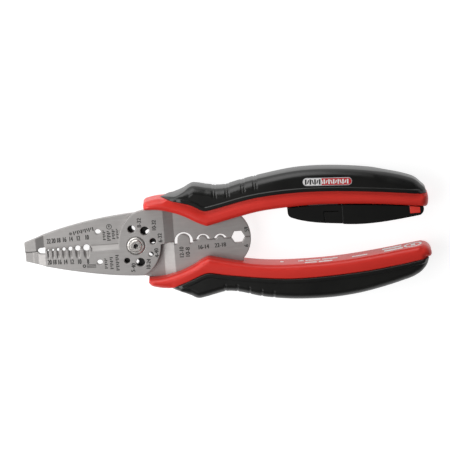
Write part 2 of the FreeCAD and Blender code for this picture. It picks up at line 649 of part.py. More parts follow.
lens_window = rectangle(LENS_LEFT_X - 0.05, 8.15, LENS_RIGHT_X + 0.05, 18.0)
pocket(cover, sketch(cover, "lens_window", lens_window), "20 mm", both_ways=True)
post_level = FreeCAD.Placement(V(0, 0, -8.1), FreeCAD.Rotation())
post = sketch(cover, "screw_post", circle(size("ScrewX"), 0, 3.0), "XZ_Plane", post_level)
pad(cover, post, "3.2 mm")
post_bore = sketch(cover, "post_bore", circle(size("ScrewX"), 0, size("ScrewRadius") + 0.1), "XZ_Plane",
                   post_level)
pocket(cover, post_bore, "6 mm", reverse=True)
head_level = FreeCAD.Placement(V(0, 0, -6.0), FreeCAD.Rotation())
head_bore = sketch(cover, "head_bore", circle(size("ScrewX"), 0, size("ScrewHeadRadius") + 0.1),
                   "XZ_Plane", head_level)
pocket(cover, head_bore, "4 mm", reverse=True)

# Lens: a clear channel that closes the window on both sides and underneath
lens = new_body("led_lens")
lens_outline = polygon((LENS_LEFT_X, 8.2), (LENS_RIGHT_X, 8.2), (LENS_RIGHT_X, 11.3), (LENS_LEFT_X, 12.2))
pad(lens, sketch(lens, "lens_outline", lens_outline), "15.4 mm", both_ways=True)
pocket(lens, sketch(lens, "lens_hollow", rectangle(LENS_LEFT_X - 1, 9.6, LENS_RIGHT_X + 1, 15)), "12.2 mm",
       both_ways=True)

# ---------------------------------------------------------------------------------------------------
# Detector electronics
# ---------------------------------------------------------------------------------------------------

BOARD_LEFT_X = 114.0
BOARD_RIGHT_X = 149.0
board = new_body("circuit_board")
board_level = FreeCAD.Placement(V(0, 0, -size("BoardTopY")), FreeCAD.Rotation())
board_edges = rectangle(BOARD_LEFT_X, -size("BoardHalfWidth"), BOARD_RIGHT_X, size("BoardHalfWidth"))
board_edges = board_edges + circle(size("ScrewX"), 0, 2.5)
pad(board, sketch(board, "board_outline", board_edges, "XZ_Plane", board_level), "Sizes.BoardThickness")

BOARD_UNDER_Y = size("BoardTopY") - size("BoardThickness")
chip = new_body("detector_chip")
under_level = FreeCAD.Placement(V(0, 0, -BOARD_UNDER_Y), FreeCAD.Rotation())
pad(chip, sketch(chip, "chip_outline", rectangle(117.5, -2.0, 124.5, 2.0), "XZ_Plane", under_level),
    "Sizes.ChipHeight")
legs = []
for leg in range(4):
    leg_x = 118.2 + 1.7 * leg
    legs += rectangle(leg_x, -3.1, leg_x + 0.5, -2.0) + rectangle(leg_x, 2.0, leg_x + 0.5, 3.1)
pad(chip, sketch(chip, "chip_legs", legs, "XZ_Plane", under_level), "Sizes.ChipHeight / 3")

buzzer = new_body("buzzer")
ring = sketch(buzzer, "buzzer_can", circle(size("BuzzerX"), 0, size("BuzzerRadius")), "XZ_Plane", under_level)
bind_radius(ring, 0, "BuzzerRadius")
pad(buzzer, ring, "Sizes.BuzzerHeight")
vent_level = FreeCAD.Placement(V(0, 0, -(BOARD_UNDER_Y - size("BuzzerHeight"))), FreeCAD.Rotation())
vent = sketch(buzzer, "buzzer_vent", circle(size("BuzzerX"), 0, 0.9), "XZ_Plane", vent_level)
pocket(buzzer, vent, "1 mm")

lamp_length = 3.2
lamp_start = size("LampTipX") - size("LampRadius") - lamp_length
lamp_dome = doc.addObject("Part::Sphere", "lamp_dome")
lamp_dome.setExpression("Radius", "Sizes.LampRadius")
lamp_dome.Placement.Base = V(lamp_start + lamp_length, size("LampY"), 0)
lamp_barrel = cylinder("lamp_barrel", (lamp_start, size("LampY"), 0), (1, 0, 0), "Sizes.LampRadius",
                       "%g mm" % lamp_length)
lamp_flange = cylinder("lamp_flange", (lamp_start, size("LampY"), 0), (1, 0, 0), "Sizes.LampRadius + 0.4",
                       "0.8 mm")
lamp_legs = [box("lamp_leg_%d" % (k + 1), (lamp_start - 0.5, size("LampY") - 0.25, z - 0.25),
                 (lamp_start + 0.1, BOARD_UNDER_Y, z + 0.25)) for k, z in enumerate((-0.9, 0.9))]
fused("indicator_led", [lamp_dome, lamp_barrel, lamp_flange] + lamp_legs)

# Button cells stand on edge in a row, with the spring on their left and a brass leaf on their right
CELL_COUNT = 3
CELL_NUB_RADIUS = 4.4
for index in range(CELL_COUNT):
    start_x = size("CellFirstX") + index * size("CellLength")
    can = cylinder("cell_can_%d" % (index + 1), (start_x + 0.5, size("CellAxisY"), 0), (1, 0, 0),
                   "Sizes.CellRadius", "Sizes.CellLength - 0.5")
    cap = cylinder("cell_cap_%d" % (index + 1), (start_x, size("CellAxisY"), 0), (1, 0, 0),
                   "%g mm" % CELL_NUB_RADIUS, "0.6 mm")
    fused("button_cell_%d" % (index + 1), [can, cap])

coil = doc.addObject("Part::Helix", "spring_path")
coil.Radius = size("SpringRadius")
coil.Pitch = size("SpringLength") / size("SpringTurns")
coil.Height = size("SpringLength")
coil_turn = FreeCAD.Rotation(V(0, 0, 1), V(1, 0, 0)).multiply(FreeCAD.Rotation(V(0, 0, 1), 30))
coil.Placement = FreeCAD.Placement(V(89.35, size("CellAxisY"), 0), coil_turn)
wire_end = doc.addObject("Part::Circle", "spring_section")
wire_end.Radius = size("SpringWireRadius")
doc.recompute()
coil_start = coil.Shape.Edges[0].valueAt(coil.Shape.Edges[0].FirstParameter)
coil_way = coil.Shape.Edges[0].tangentAt(coil.Shape.Edges[0].FirstParameter)
wire_end.Placement = FreeCAD.Placement(coil_start, FreeCAD.Rotation(V(0, 0, 1), coil_way))
spring = doc.addObject("Part::Sweep", "battery_spring")
spring.Sections = [wire_end]
spring.Spine = (coil, ["Edge%d" % (k + 1) for k in range(len(coil.Shape.Edges))])
spring.Solid = True
spring.Frenet = True
spring.Label = "battery_spring"
place(spring)
SUBPARTS.append(spring)

LEAF = size("LeafThickness")
CELL_END_X = size("CellFirstX") + CELL_COUNT * size("CellLength")
fused("spring_contact", [
    box("spring_plate", (88.7, 11.8, -4.5), (88.7 + LEAF, 19.5, 6.2)),
    box("spring_arm", (88.7, 17.5, 6.2 - LEAF), (115.4, 19.5, 6.2)),
    box("spring_arm_drop", (114.4, size("BoardTopY"), 6.2 - LEAF), (115.4, 18.0, 6.2)),
    box("spring_arm_foot", (114.4, size("BoardTopY"), 4.6), (115.4, size("BoardTopY") + LEAF, 6.2)),
])
fused("battery_contact", [
    box("contact_plate", (CELL_END_X, 11.8, -3.0), (CELL_END_X + LEAF, 19.5, 3.0)),
    box("contact_tab", (CELL_END_X, 17.1, -3.0), (115.0, 17.1 + LEAF, 3.0)),
    box("contact_foot", (115.0 - LEAF, size("BoardTopY"), -3.0), (115.0, 17.1 + LEAF, 3.0)),
])
fused("sensor_strip", [
    box("sensor_leaf", (78.6, 22.02, -1.5), (115.9, 22.02 + LEAF, 1.5)),
    box("sensor_drop", (115.9 - LEAF, size("BoardTopY"), -1.5), (115.9, 22.02 + LEAF, 1.5)),
])

# Cover screw
screw = new_body("cover_screw")
shank = size("ScrewRadius")
head_y = 4.75
shoulder_y = head_y + size("ScrewHeadHeight")
half = polygon((0, head_y + 0.6), (0.9, head_y + 0.6), (1.2, head_y), (size("ScrewHeadRadius"), head_y),
               (size("ScrewHeadRadius"), shoulder_y), (shank, shoulder_y), (shank, 13.2), (0, 14.2))
revolve(screw, sketch(screw, "screw_half", half), "Y_Axis")
screw.setExpression("Placement.Base.x", "Sizes.PlaceX + Sizes.ScrewX")

# Badge: a plain two-tone pill on the detector handle's side
badge = new_body("grip_badge")
half_length = size("BadgeLength") / 2
half_width = size("BadgeWidth") / 2
pill = closed_path(
    (half_width - half_length, -half_width), line((half_length - half_width, -half_width)),
    arc((half_length, 0), (half_length - half_width, half_width)), line((half_width - half_length, half_width)),
    arc((-half_length, 0), (half_width - half_length, -half_width)))
side_face = FreeCAD.Placement(V(105.3, 29.2, size("GripThickness") / 2), FreeCAD.Rotation(V(0, 0, 1), -2.8))
pad(badge, sketch(badge, "badge_pill", pill, offset=side_face), "Sizes.BadgeThickness")

# ---------------------------------------------------------------------------------------------------
# Check and write
# ---------------------------------------------------------------------------------------------------

doc.recompute()
for item in doc.Objects:
    if "Invalid" in item.State or "Error" in item.State:
        raise RuntimeError("%s failed: %s" % (item.Name, item.State))
    if hasattr(item, "Shape") and item.TypeId.startswith("PartDesign::") and item.Shape.isNull():
        raise RuntimeError("%s made no shape" % item.Name)
os.makedirs("parts", exist_ok=True)
for piece in SUBPARTS:
    shape = piece.Shape
    if shape.isNull() or len(shape.Solids) != 1 or not shape.isValid():
        raise RuntimeError("%s is not one valid solid" % piece.Label)
    shape.exportStep("parts/%s.step" % piece.Label)
    written = Part.Shape()
    written.read("parts/%s.step" % piece.Label)
    if not written.isValid():
        raise RuntimeError("%s is not valid once written" % piece.Label)
    print("%-20s solids %d  volume %9.1f  box %s" % (
        piece.Label, len(shape.Solids), shape.Volume,
        " ".join("%.1f" % v for v in (shape.BoundBox.XMin, shape.BoundBox.XMax, shape.BoundBox.YMin,
                                      shape.BoundBox.YMax, shape.BoundBox.ZMin, shape.BoundBox.ZMax))))
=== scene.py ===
import json
import math

import bpy
import bmesh
import numpy as np
from mathutils import Matrix, Vector


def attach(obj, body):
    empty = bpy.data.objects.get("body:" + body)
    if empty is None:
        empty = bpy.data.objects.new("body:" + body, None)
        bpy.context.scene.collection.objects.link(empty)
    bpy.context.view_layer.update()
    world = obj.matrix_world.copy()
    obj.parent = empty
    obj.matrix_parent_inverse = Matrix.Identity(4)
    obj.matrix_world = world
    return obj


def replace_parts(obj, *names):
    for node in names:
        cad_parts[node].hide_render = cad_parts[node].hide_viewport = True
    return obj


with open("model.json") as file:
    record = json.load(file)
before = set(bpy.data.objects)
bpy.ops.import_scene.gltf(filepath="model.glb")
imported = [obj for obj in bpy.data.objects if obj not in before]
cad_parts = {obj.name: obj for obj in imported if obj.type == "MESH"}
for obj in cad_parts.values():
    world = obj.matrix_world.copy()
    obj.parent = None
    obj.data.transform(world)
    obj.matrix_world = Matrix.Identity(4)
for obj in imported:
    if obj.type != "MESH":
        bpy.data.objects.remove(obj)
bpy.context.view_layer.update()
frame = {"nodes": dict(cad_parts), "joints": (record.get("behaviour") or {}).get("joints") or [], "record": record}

MM = 0.001
MERGE_DISTANCE = 0.004             # grid points closer than this become one, mm
HALF_GRIP = 9.0                    # half the thickness of a handle, mm
UPPER = "upper_half"
LOWER = "lower_half"
DOOR = "door"

# The plan origin of every outline below is the pivot, midway between the plates.
pivot_joint = [joint for joint in frame["joints"] if joint["name"] == "jaw_pivot"][0]
PIVOT = Vector(pivot_joint["pos_m"])

FRONT_FACE_Z = 3.05                # front face of the front blade at the pivot
REAR_JAW_Z = -0.05                 # front face of the rear blade's jaw
CRIMP_FACE_Z = 1.5                 # front face of both blades at the crimper
BOLT_SOCKET_FLOOR_Z = 1.8
PIVOT_SHADE_RADIUS = 12.5               # painted shade on the rear blade round the pivot, under the front blade's disc and in its holes
PIVOT_SHADE_FROM_X = -6.9               # it is painted only to the right of this
PIVOT_SHADE_FROM_Z = -2.4               # and not on the rear blade's back
# colour of that painted shade
PIVOT_SHADE_TONE = (0.012, 0.011, 0.010)

# ---------------------------------------------------------------------------------------------------
# Materials
# ---------------------------------------------------------------------------------------------------


class Shader:
    """A Principled material with a few helpers for wiring procedural detail into it."""

    def __init__(self, name, **values):
        self.material = bpy.data.materials.new(name)
        self.material.use_nodes = True
        self.tree = self.material.node_tree
        self.surface = self.tree.nodes["Principled BSDF"]
        self.coords = self.node("ShaderNodeTexCoord").outputs["Object"]
        for key, value in values.items():
            self.surface.inputs[key.replace("_", " ")].default_value = value

    def node(self, kind, **settings):
        made = self.tree.nodes.new(kind)
        for key, value in settings.items():
            setattr(made, key, value)
        return made

    def link(self, source, target):
        self.tree.links.new(source, target)

    def noise(self, scale, detail=3.0, roughness=0.55, stretch=(1, 1, 1)):
        """Noise in the object's own space; scale is in features per metre."""
        place = self.node("ShaderNodeMapping")
        place.inputs["Scale"].default_value = stretch
        self.link(self.coords, place.inputs["Vector"])
        made = self.node("ShaderNodeTexNoise")
        made.inputs["Scale"].default_value = scale
        made.inputs["Detail"].default_value = detail
        made.inputs["Roughness"].default_value = roughness
        self.link(place.outputs["Vector"], made.inputs["Vector"])
        return made.outputs["Fac"]

    def ramp(self, factor, stops):
        """Maps a 0-1 factor through colour stops given as (position, colour)."""
        made = self.node("ShaderNodeValToRGB")
        elements = made.color_ramp.elements
        while len(elements) < len(stops):
            elements.new(0.5)
        for element, (position, colour) in zip(elements, stops):
            element.position = position
            element.color = (*colour, 1.0)
        self.link(factor, made.inputs["Fac"])
        return made.outputs["Color"]

    def span(self, factor, low, high):
        """Maps a 0-1 factor onto low..high."""
        made = self.node("ShaderNodeMapRange")
        made.inputs["To Min"].default_value = low
        made.inputs["To Max"].default_value = high
        self.link(factor, made.inputs["Value"])
        return made.outputs["Result"]

    def maths(self, operation, first, second):
        """A maths node on a socket and a number or another socket."""
        made = self.node("ShaderNodeMath", operation=operation)
        self.link(first, made.inputs[0])
        if isinstance(second, float):
            made.inputs[1].default_value = second
        else:
            self.link(second, made.inputs[1])
        return made.outputs["Value"]

    def colour(self, socket):
        self.link(socket, self.surface.inputs["Base Color"])

    def roughness(self, socket):
        self.link(socket, self.surface.inputs["Roughness"])

    def relief(self, layers, edge_radius=0.0):
        """Stacks bumps of (height socket, strength, depth in mm) over edges softened by a radius in mm."""
        normal = None
        if edge_radius:
            soft = self.node("ShaderNodeBevel", samples=6)
            soft.inputs["Radius"].default_value = edge_radius * MM
            normal = soft.outputs["Normal"]
        for height, strength, depth in layers:
            bump = self.node("ShaderNodeBump")
            bump.inputs["Strength"].default_value = strength
            bump.inputs["Distance"].default_value = depth * MM
            self.link(height, bump.inputs["Height"])
            if normal is not None:
                self.link(normal, bump.inputs["Normal"])
            normal = bump.outputs["Normal"]
        self.link(normal, self.surface.inputs["Normal"])


def blasted_steel(name, dark, light, rough, with_pivot_shade=False):
    """Bead-blasted plate: cloudy tone, fine pitted grain and a faint lengthways draw, with painted shade round the
    pivot if asked for.
    """
    shader = Shader(name, Metallic=0.5, Roughness=rough)
    clouds = shader.noise(55.0, 4.0)
    grain = shader.noise(5200.0, 2.0)
    draw = shader.noise(900.0, 3.0, stretch=(0.12, 1.0, 1.0))
    tone = shader.node("ShaderNodeMix", data_type="FLOAT")
    tone.inputs["Factor"].default_value = 0.35
    shader.link(clouds, tone.inputs["A"])
    shader.link(draw, tone.inputs["B"])
    colour = shader.ramp(tone.outputs["Result"], [(0.3, dark), (0.7, light)])
    # painted shade round the pivot
    if with_pivot_shade:
        colour = paint_pivot_shade(shader, colour)
    shader.colour(colour)
    shader.roughness(shader.span(grain, rough - 0.07, rough + 0.09))
    shader.relief([(grain, 0.22, 0.05), (draw, 0.06, 0.05)], edge_radius=0.7)
    return shader.material


def paint_pivot_shade(shader, colour):
    """Paints shade on the rear blade round the pivot, under the front blade's disc and in its holes."""
    away = shader.node("ShaderNodeVectorMath", operation="DISTANCE")
    flatten = shader.node("ShaderNodeVectorMath", operation="MULTIPLY")
    flatten.inputs[1].default_value = (1, 1, 0)
    shader.link(shader.coords, flatten.inputs[0])
    shader.link(flatten.outputs["Vector"], away.inputs[0])
    away.inputs[1].default_value = (PIVOT.x, PIVOT.y, 0)
    split = shader.node("ShaderNodeSeparateXYZ")
    shader.link(shader.coords, split.inputs["Vector"])
    near = shader.maths("LESS_THAN", away.outputs["Value"], PIVOT_SHADE_RADIUS * MM)
    right = shader.maths("GREATER_THAN", split.outputs["X"], PIVOT.x + PIVOT_SHADE_FROM_X * MM)
    above = shader.maths("GREATER_THAN", split.outputs["Z"], PIVOT.z + PIVOT_SHADE_FROM_Z * MM)
    mixed = shader.node("ShaderNodeMix", data_type="RGBA")
    inside = shader.maths("MULTIPLY", near, shader.maths("MULTIPLY", right, above))
    shader.link(inside, mixed.inputs["Factor"])
    shader.link(colour, mixed.inputs["A"])
    mixed.inputs["B"].default_value = (*PIVOT_SHADE_TONE, 1)
    return mixed.outputs["Result"]


def turned_steel(name, tone, rough):
    """Machined fastener steel with fine turning marks."""
    shader = Shader(name, Metallic=0.9, Roughness=rough)
    wear = shader.noise(700.0, 4.0)
    low = tuple(value * 0.8 for value in tone)
    shader.colour(shader.ramp(wear, [(0.35, low), (0.65, tone)]))
    grain = shader.noise(4200.0, 2.0)
    shader.roughness(shader.span(wear, rough - 0.06, rough + 0.1))
    shader.relief([(grain, 0.15, 0.04)], edge_radius=0.12)
    return shader.material


def moulded_plastic(name, dark, light, rough, grain_depth, edge_radius=0.25, shine=0.5):
    """Hard moulded plastic: slight tone drift, orange peel and handling scuffs."""
    shader = Shader(name, Roughness=rough, Specular_IOR_Level=shine)
    drift = shader.noise(28.0, 3.0)
    shader.colour(shader.ramp(drift, [(0.35, dark), (0.65, light)]))
    peel = shader.noise(650.0, 2.0)
    scuff = shader.noise(160.0, 6.0, 0.7, stretch=(0.35, 1.0, 1.0))
    shader.roughness(shader.span(scuff, rough - 0.07, rough + 0.1))
    fine = shader.noise(3600.0, 2.0)
    shader.relief([(peel, 0.05, 0.12), (fine, 0.12, grain_depth)], edge_radius=edge_radius)
    return shader.material


def grip_rubber(name):
    """Soft overmoulded rubber: near black, finely pebbled, with a dusty bloom."""
    shader = Shader(name, Roughness=0.29, Specular_IOR_Level=0.5)
    bloom = shader.noise(45.0, 5.0, 0.65)
    shader.colour(shader.ramp(bloom, [(0.3, (0.003, 0.003, 0.0027)), (0.7, (0.007, 0.007, 0.006))]))
    pebble = shader.noise(2300.0, 2.0)
    shader.roughness(shader.span(bloom, 0.25, 0.35))
    shader.relief([(pebble, 0.18, 0.05)])
    return shader.material


def clear_red(name):
    """Translucent tinted plastic of the indicator window."""
    shader = Shader(name, Roughness=0.12, Transmission_Weight=0.2, IOR=1.49)
    drift = shader.noise(220.0, 2.0)
    shader.colour(shader.ramp(drift, [(0.3, (0.85, 0.05, 0.035)), (0.7, (0.98, 0.075, 0.055))]))
    shader.relief([(shader.noise(900.0, 2.0), 0.08, 0.08)], edge_radius=0.2)
    return shader.material


def board_mask(name):
    """Green solder mask with a fine weave of glass fibre under it."""
    shader = Shader(name, Roughness=0.35)
    weave = shader.node("ShaderNodeTexChecker")
    weave.inputs["Scale"].default_value = 1800.0
    shader.link(shader.coords, weave.inputs["Vector"])
    clouds = shader.noise(300.0, 3.0)
    shader.colour(shader.ramp(clouds, [(0.3, (0.012, 0.09, 0.035)), (0.7, (0.02, 0.15, 0.055))]))
    shader.relief([(weave.outputs["Fac"], 0.1, 0.03)])
    return shader.material


def ink(name, tone, rough=0.55):
    """Printed or etched marking with slightly broken edges of tone."""
    shader = Shader(name, Roughness=rough)
    speckle = shader.noise(2600.0, 3.0)
    low = tuple(value * 0.75 for value in tone)
    shader.colour(shader.ramp(speckle, [(0.35, low), (0.6, tone)]))
    shader.relief([(speckle, 0.1, 0.02)])
    return shader.material


BLADE_DARK = (0.30, 0.287, 0.279)
BLADE_LIGHT = (0.38, 0.365, 0.355)
BLADE_ROUGHNESS = 0.47
MATERIALS = {
    "blade_steel": blasted_steel("blasted_steel", BLADE_DARK, BLADE_LIGHT, BLADE_ROUGHNESS),
    "bolt_steel": turned_steel("turned_steel", (0.66, 0.63, 0.60), rough=0.27),
    "cell_steel": turned_steel("cell_nickel", (0.74, 0.73, 0.70), rough=0.2),
    "contact_brass": turned_steel("contact_brass", (0.78, 0.55, 0.22), rough=0.25),
    "handle_red": moulded_plastic("handle_red", (0.60, 0.022, 0.014), (0.66, 0.028, 0.018),
                                  rough=0.36, grain_depth=0.03),
    "cover_black": moulded_plastic("cover_black", (0.003, 0.003, 0.0027), (0.006, 0.006, 0.0055),
                                   rough=0.42, grain_depth=0.05, shine=0.22),
    "chip_black": moulded_plastic("chip_black", (0.02, 0.02, 0.02), (0.035, 0.035, 0.035),
                                  rough=0.55, grain_depth=0.05, edge_radius=0.1),
    "grip_rubber": grip_rubber("grip_rubber"),
    "lens_red": clear_red("lens_red"),
    "board_green": board_mask("board_mask"),
}
# The rear blade's steel, with painted shade round the pivot.
REAR_STEEL_PIVOT_SHADE = blasted_steel("rear_steel_pivot_shade", BLADE_DARK, BLADE_LIGHT, BLADE_ROUGHNESS, with_pivot_shade=True)
ETCH = ink("etched_marking", (0.035, 0.032, 0.03))
WHITE_INK = ink("white_print", (0.86, 0.84, 0.83), 0.5)
BADGE_SILVER = ink("badge_silver", (0.60, 0.60, 0.62), 0.32)
BADGE_RED = ink("badge_red", (0.60, 0.02, 0.025), 0.3)
# Dark ink for the badge's strokes, also the painted shade at the bottom of the bolt's socket.
DARK_INK_AND_SOCKET_SHADE = ink("badge_dark", (0.02, 0.02, 0.022), 0.4)

# ---------------------------------------------------------------------------------------------------
# Plan geometry, in millimetres from the pivot
# ---------------------------------------------------------------------------------------------------


def smooth_line(points, spacing=0.5):
    """Samples a centripetal Catmull-Rom curve through the points."""
    p = np.array(points, float)
    padded = np.vstack([2 * p[0] - p[1], p, 2 * p[-1] - p[-2]])
    out = []
    for a, b, c, d in zip(padded, padded[1:], padded[2:], padded[3:]):
        ta = np.sqrt(np.linalg.norm(b - a))
        tb = ta + np.sqrt(np.linalg.norm(c - b))
        tc = tb + np.sqrt(np.linalg.norm(d - c))
        count = max(2, int(np.ceil(np.linalg.norm(c - b) / spacing)))
        for t in np.linspace(ta, tb, count, endpoint=False):
            one = ((ta - t) * a + t * b) / ta
            two = ((tb - t) * b + (t - ta) * c) / (tb - ta)
            three = ((tc - t) * c + (t - tb) * d) / (tc - tb)
            left = ((tb - t) * one + t * two) / tb
            right = ((tc - t) * two + (t - ta) * three) / (tc - ta)
            out.append(((tb - t) * left + (t - ta) * right) / (tb - ta))
    out.append(p[-1])
    return np.array(out)


def resample(line, count):
    """The same line with a given number of points, evenly spaced along it."""
    steps = np.r_[0, np.cumsum(np.linalg.norm(np.diff(line, axis=0), axis=1))]
    places = np.linspace(0, steps[-1], count)
    return np.stack([np.interp(places, steps, line[:, k]) for k in (0, 1)], 1)


def soften(line, passes):
    """Rounds corners by averaging neighbours, with the ends held."""
    line = line.copy()
    for _ in range(passes):
        line[1:-1] = (line[:-2] + 2 * line[1:-1] + line[2:]) / 4
    return line


def distance(points, line):
    """Distance from each point to a polyline."""
    a, b = line[:-1], line[1:]
    ab = b - a
    length2 = np.maximum((ab ** 2).sum(1), 1e-12)
    best = np.full(len(points), 1e9)
    for start in range(0, len(points), 4000):
        block = points[start:start + 4000, None, :]
        t = np.clip(((block - a) * ab).sum(2) / length2, 0, 1)
        near = a + t[..., None] * ab
        best[start:start + 4000] = np.sqrt(((block - near) ** 2).sum(2)).min(1)
    return best


def round_off(away, radius, power=2.0):
    """How far a rounded edge has dropped at a distance from the edge: a quarter circle at power 2."""
    reach = np.clip(away / np.maximum(radius, 1e-6), 0, 1)
    return radius * (1 - np.clip(1 - (1 - reach) ** power, 0, 1) ** (1 / power))


def smooth_step(value, low, high):
    """0 below low, 1 above high and a smooth change between them."""
    t = np.clip((value - low) / (high - low), 0, 1)
    return t * t * (3 - 2 * t)


def to_world(x, y, z):
    """Plan millimetres to the frame's metres."""
    return Vector((x * MM, y * MM, z * MM)) + PIVOT


# ---------------------------------------------------------------------------------------------------
# Mesh helpers
# ---------------------------------------------------------------------------------------------------


def make_object(name, mesh, material, body):
    """A finished piece that rides on a body."""
    piece = bpy.data.objects.new(name, mesh)
    bpy.context.scene.collection.objects.link(piece)
    mesh.materials.append(material)
    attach(piece, body)
    return piece


def shade(mesh, angle=40.0):
    """Smooth shading that keeps edges sharper than the angle."""
    mesh.polygons.foreach_set("use_smooth", [True] * len(mesh.polygons))
    mesh.set_sharp_from_angle(angle=math.radians(angle))
    mesh.update()


def solid_between(name, top, bottom, rows, columns):
    """A closed solid between two grids of plan points, each (rows * columns, 3) in millimetres."""
    vertices = (np.concatenate([top, bottom]) + np.array(PIVOT) / MM) * MM
    index = np.arange(rows * columns).reshape(rows, columns)
    under = rows * columns
    quads = np.stack([index[:-1, :-1], index[1:, :-1], index[1:, 1:], index[:-1, 1:]], -1).reshape(-1, 4)
    faces = [tuple(q) for q in quads] + [tuple(q[::-1] + under) for q in quads]
    border = np.concatenate([index[:, 0], index[-1, 1:], index[-2::-1, -1], index[0, -2:0:-1]])
    for this, following in zip(border, np.roll(border, -1)):
        faces.append((this, this + under, following + under, following))
    mesh = bpy.data.meshes.new(name)
    mesh.from_pydata([tuple(v) for v in vertices], [], [tuple(int(i) for i in f) for f in faces])
    tidy = bmesh.new()
    tidy.from_mesh(mesh)
    bmesh.ops.remove_doubles(tidy, verts=tidy.verts, dist=MERGE_DISTANCE * MM)
    bmesh.ops.recalc_face_normals(tidy, faces=tidy.faces)
    tidy.to_mesh(mesh)
    tidy.free()
    return mesh


def slab_mesh(name, plan, height):
    """A closed solid over a plan grid: plan is (rows, columns, 2), height the half thickness."""
    top = np.concatenate([plan.reshape(-1, 2), height.reshape(-1, 1)], 1)
    return solid_between(name, top, top * (1, 1, -1), *height.shape)


def close_rings(mesh, low, high):
    """Faces that close two matching rings of vertices into a solid."""
    mesh.faces.new(low[::-1])
    mesh.faces.new(high)
    for k in range(len(low)):
        n = (k + 1) % len(low)
        mesh.faces.new((low[k], low[n], high[n], high[k]))


def prism(outline, low_z, high_z):
    """A closed straight-sided block over a plan outline, as a bmesh."""
    block = bmesh.new()
    low, high = [[block.verts.new(to_world(x, y, z)) for x, y in outline] for z in (low_z, high_z)]
    close_rings(block, low, high)
    bmesh.ops.recalc_face_normals(block, faces=block.faces)
    return block


def to_mesh(name, source):
    """Turns a bmesh into a mesh and frees it."""
    mesh = bpy.data.meshes.new(name)
    source.to_mesh(mesh)
    source.free()
    return mesh


# ---------------------------------------------------------------------------------------------------
# Handles
# ---------------------------------------------------------------------------------------------------

# Each line is in two runs, before and after the sharp bend where the handle clears the crimper.
UPPER_INNER = ([(5.9, 20.2), (14.6, 19.3), (21.9, 17.2), (27.8, 14.6), (33.6, 11.2), (39.1, 8.7)],
               [(39.1, 8.7), (45.9, 10.3), (58.3, 13.1), (68.2, 14.9), (83.1, 16.0), (97.3, 16.4),
                (114.8, 15.6), (132.3, 14.2), (157.6, 11.2)])
UPPER_SEAM = ([(5.9, 23.1), (6.5, 24.2), (8.0, 24.6), (15.2, 25.5), (23.4, 23.6), (31.4, 21.1),
               (36.8, 18.0), (38.9, 17.4)],
              [(38.9, 17.4), (45.0, 18.6), (64.7, 22.6), (86.1, 24.1), (107.0, 23.6), (132.8, 21.3),
               (158.0, 18.2)])
UPPER_BACK = ([(15.2, 25.65), (19.3, 26.4), (22.6, 26.5), (27.5, 28.4), (30.6, 30.4), (32.6, 31.2),
               (36.0, 30.8), (40.0, 29.8)],
              [(40.0, 29.8), (48.5, 28.8), (58.6, 30.9), (71.0, 33.2), (86.9, 35.4), (98.7, 35.7),
               (113.3, 34.8), (127.8, 32.9), (139.4, 30.4), (147.0, 28.2), (152.2, 26.0), (155.6, 22.8),
               (157.6, 20.6), (158.1, 18.4)])
LOWER_INNER = ([(6.0, -18.2), (11.1, -18.3), (15.3, -17.8), (19.5, -16.7), (23.4, -15.6), (27.6, -14.0),
                (31.9, -11.9), (34.5, -10.2), (38.6, -8.5)],
               [(38.6, -8.5), (42.8, -9.5), (47.0, -10.6), (57.0, -12.8), (72.0, -15.0), (93.0, -15.7),
                (110.0, -15.2), (132.0, -13.1), (144.2, -11.5), (154.4, -10.2)])
LOWER_SEAM = ([(5.8, -20.7), (6.5, -22.1), (8.4, -22.9), (15.7, -24.2), (20.4, -22.9), (27.8, -20.2),
               (36.4, -16.9), (39.2, -16.7)],
              [(39.2, -16.7), (47.3, -18.4), (76.3, -22.6), (92.8, -23.2), (120.5, -21.9), (142.8, -19.3),
               (156.9, -16.9)])
LOWER_BACK = ([(15.7, -24.35), (23.0, -26.4), (27.6, -28.9), (31.5, -30.9), (35.9, -30.4), (40.3, -29.4)],
              [(40.3, -29.4), (47.1, -28.1), (53.8, -28.9), (65.6, -32.3), (80.9, -34.8), (97.0, -35.7),
               (108.5, -35.4), (119.7, -34.2), (131.0, -32.0), (142.4, -29.1), (149.2, -26.9),
               (153.2, -24.2), (156.0, -20.9), (157.3, -17.4)])
FRONT_STATIONS = 90                # grid rows before the bend
REAR_STATIONS = 300                # grid rows after it
SEAM_START_X = 15.4                # where the rubber starts along the seam
CORE_EDGE_RADIUS = 2.8             # rounding of the red moulding's inner edge
CORE_FRONT_RADIUS = 2.6
CORE_REAR_RADIUS = 4.6
CORE_TIP_RADIUS = 4.2              # rounding of its back where no rubber covers it
CORE_CROWN = 0.25                  # how far its face falls from the middle to the edges
UPPER_CORE_BULGE, LOWER_CORE_BULGE = 1.1, 3.1      # how far the far end bows out
UPPER_SEAM_DIP, LOWER_SEAM_DIP = 0.8, 0.1          # fall of the face beside the seam
GROOVE_DEPTH = 0.35                # crease along the seam, on the red side
GRIP_GROOVE_DEPTH = 0.4            # and on the rubber side
RIM_RISE = 0.55                    # band of rubber that stands proud beside the seam
RIM_EDGE = (2.0, 2.5)              # distances from the seam over which the band ends
GRIP_MAX_RADIUS = 4.0              # rounding of the rubber's back
GRIP_FRONT_RADIUS = 4.6
GRIP_FRONT_STRETCH = (17.0, 27.0)  # where the front rounding fades into the general one
UPPER_END_RADIUS, LOWER_END_RADIUS = 5.4, 3.2      # rounding of the back at the far end
GRIP_END_STRETCH = (116.0, 138.0)  # where it takes over
GRIP_TIP_DROP = 3.6                # how far the rubber thins out at its front point
CORE_COLUMNS = 36                  # grid points from the inner edge to the seam
GRIP_COLUMNS = 72                  # and from the seam to the back
RIB_DEPTH = 0.25                   # grooves across the back that leave finger ribs
UPPER_RIBS = (43.6, 44.9, 50.6, 51.9, 59.2, 60.5, 65.8, 67.1)
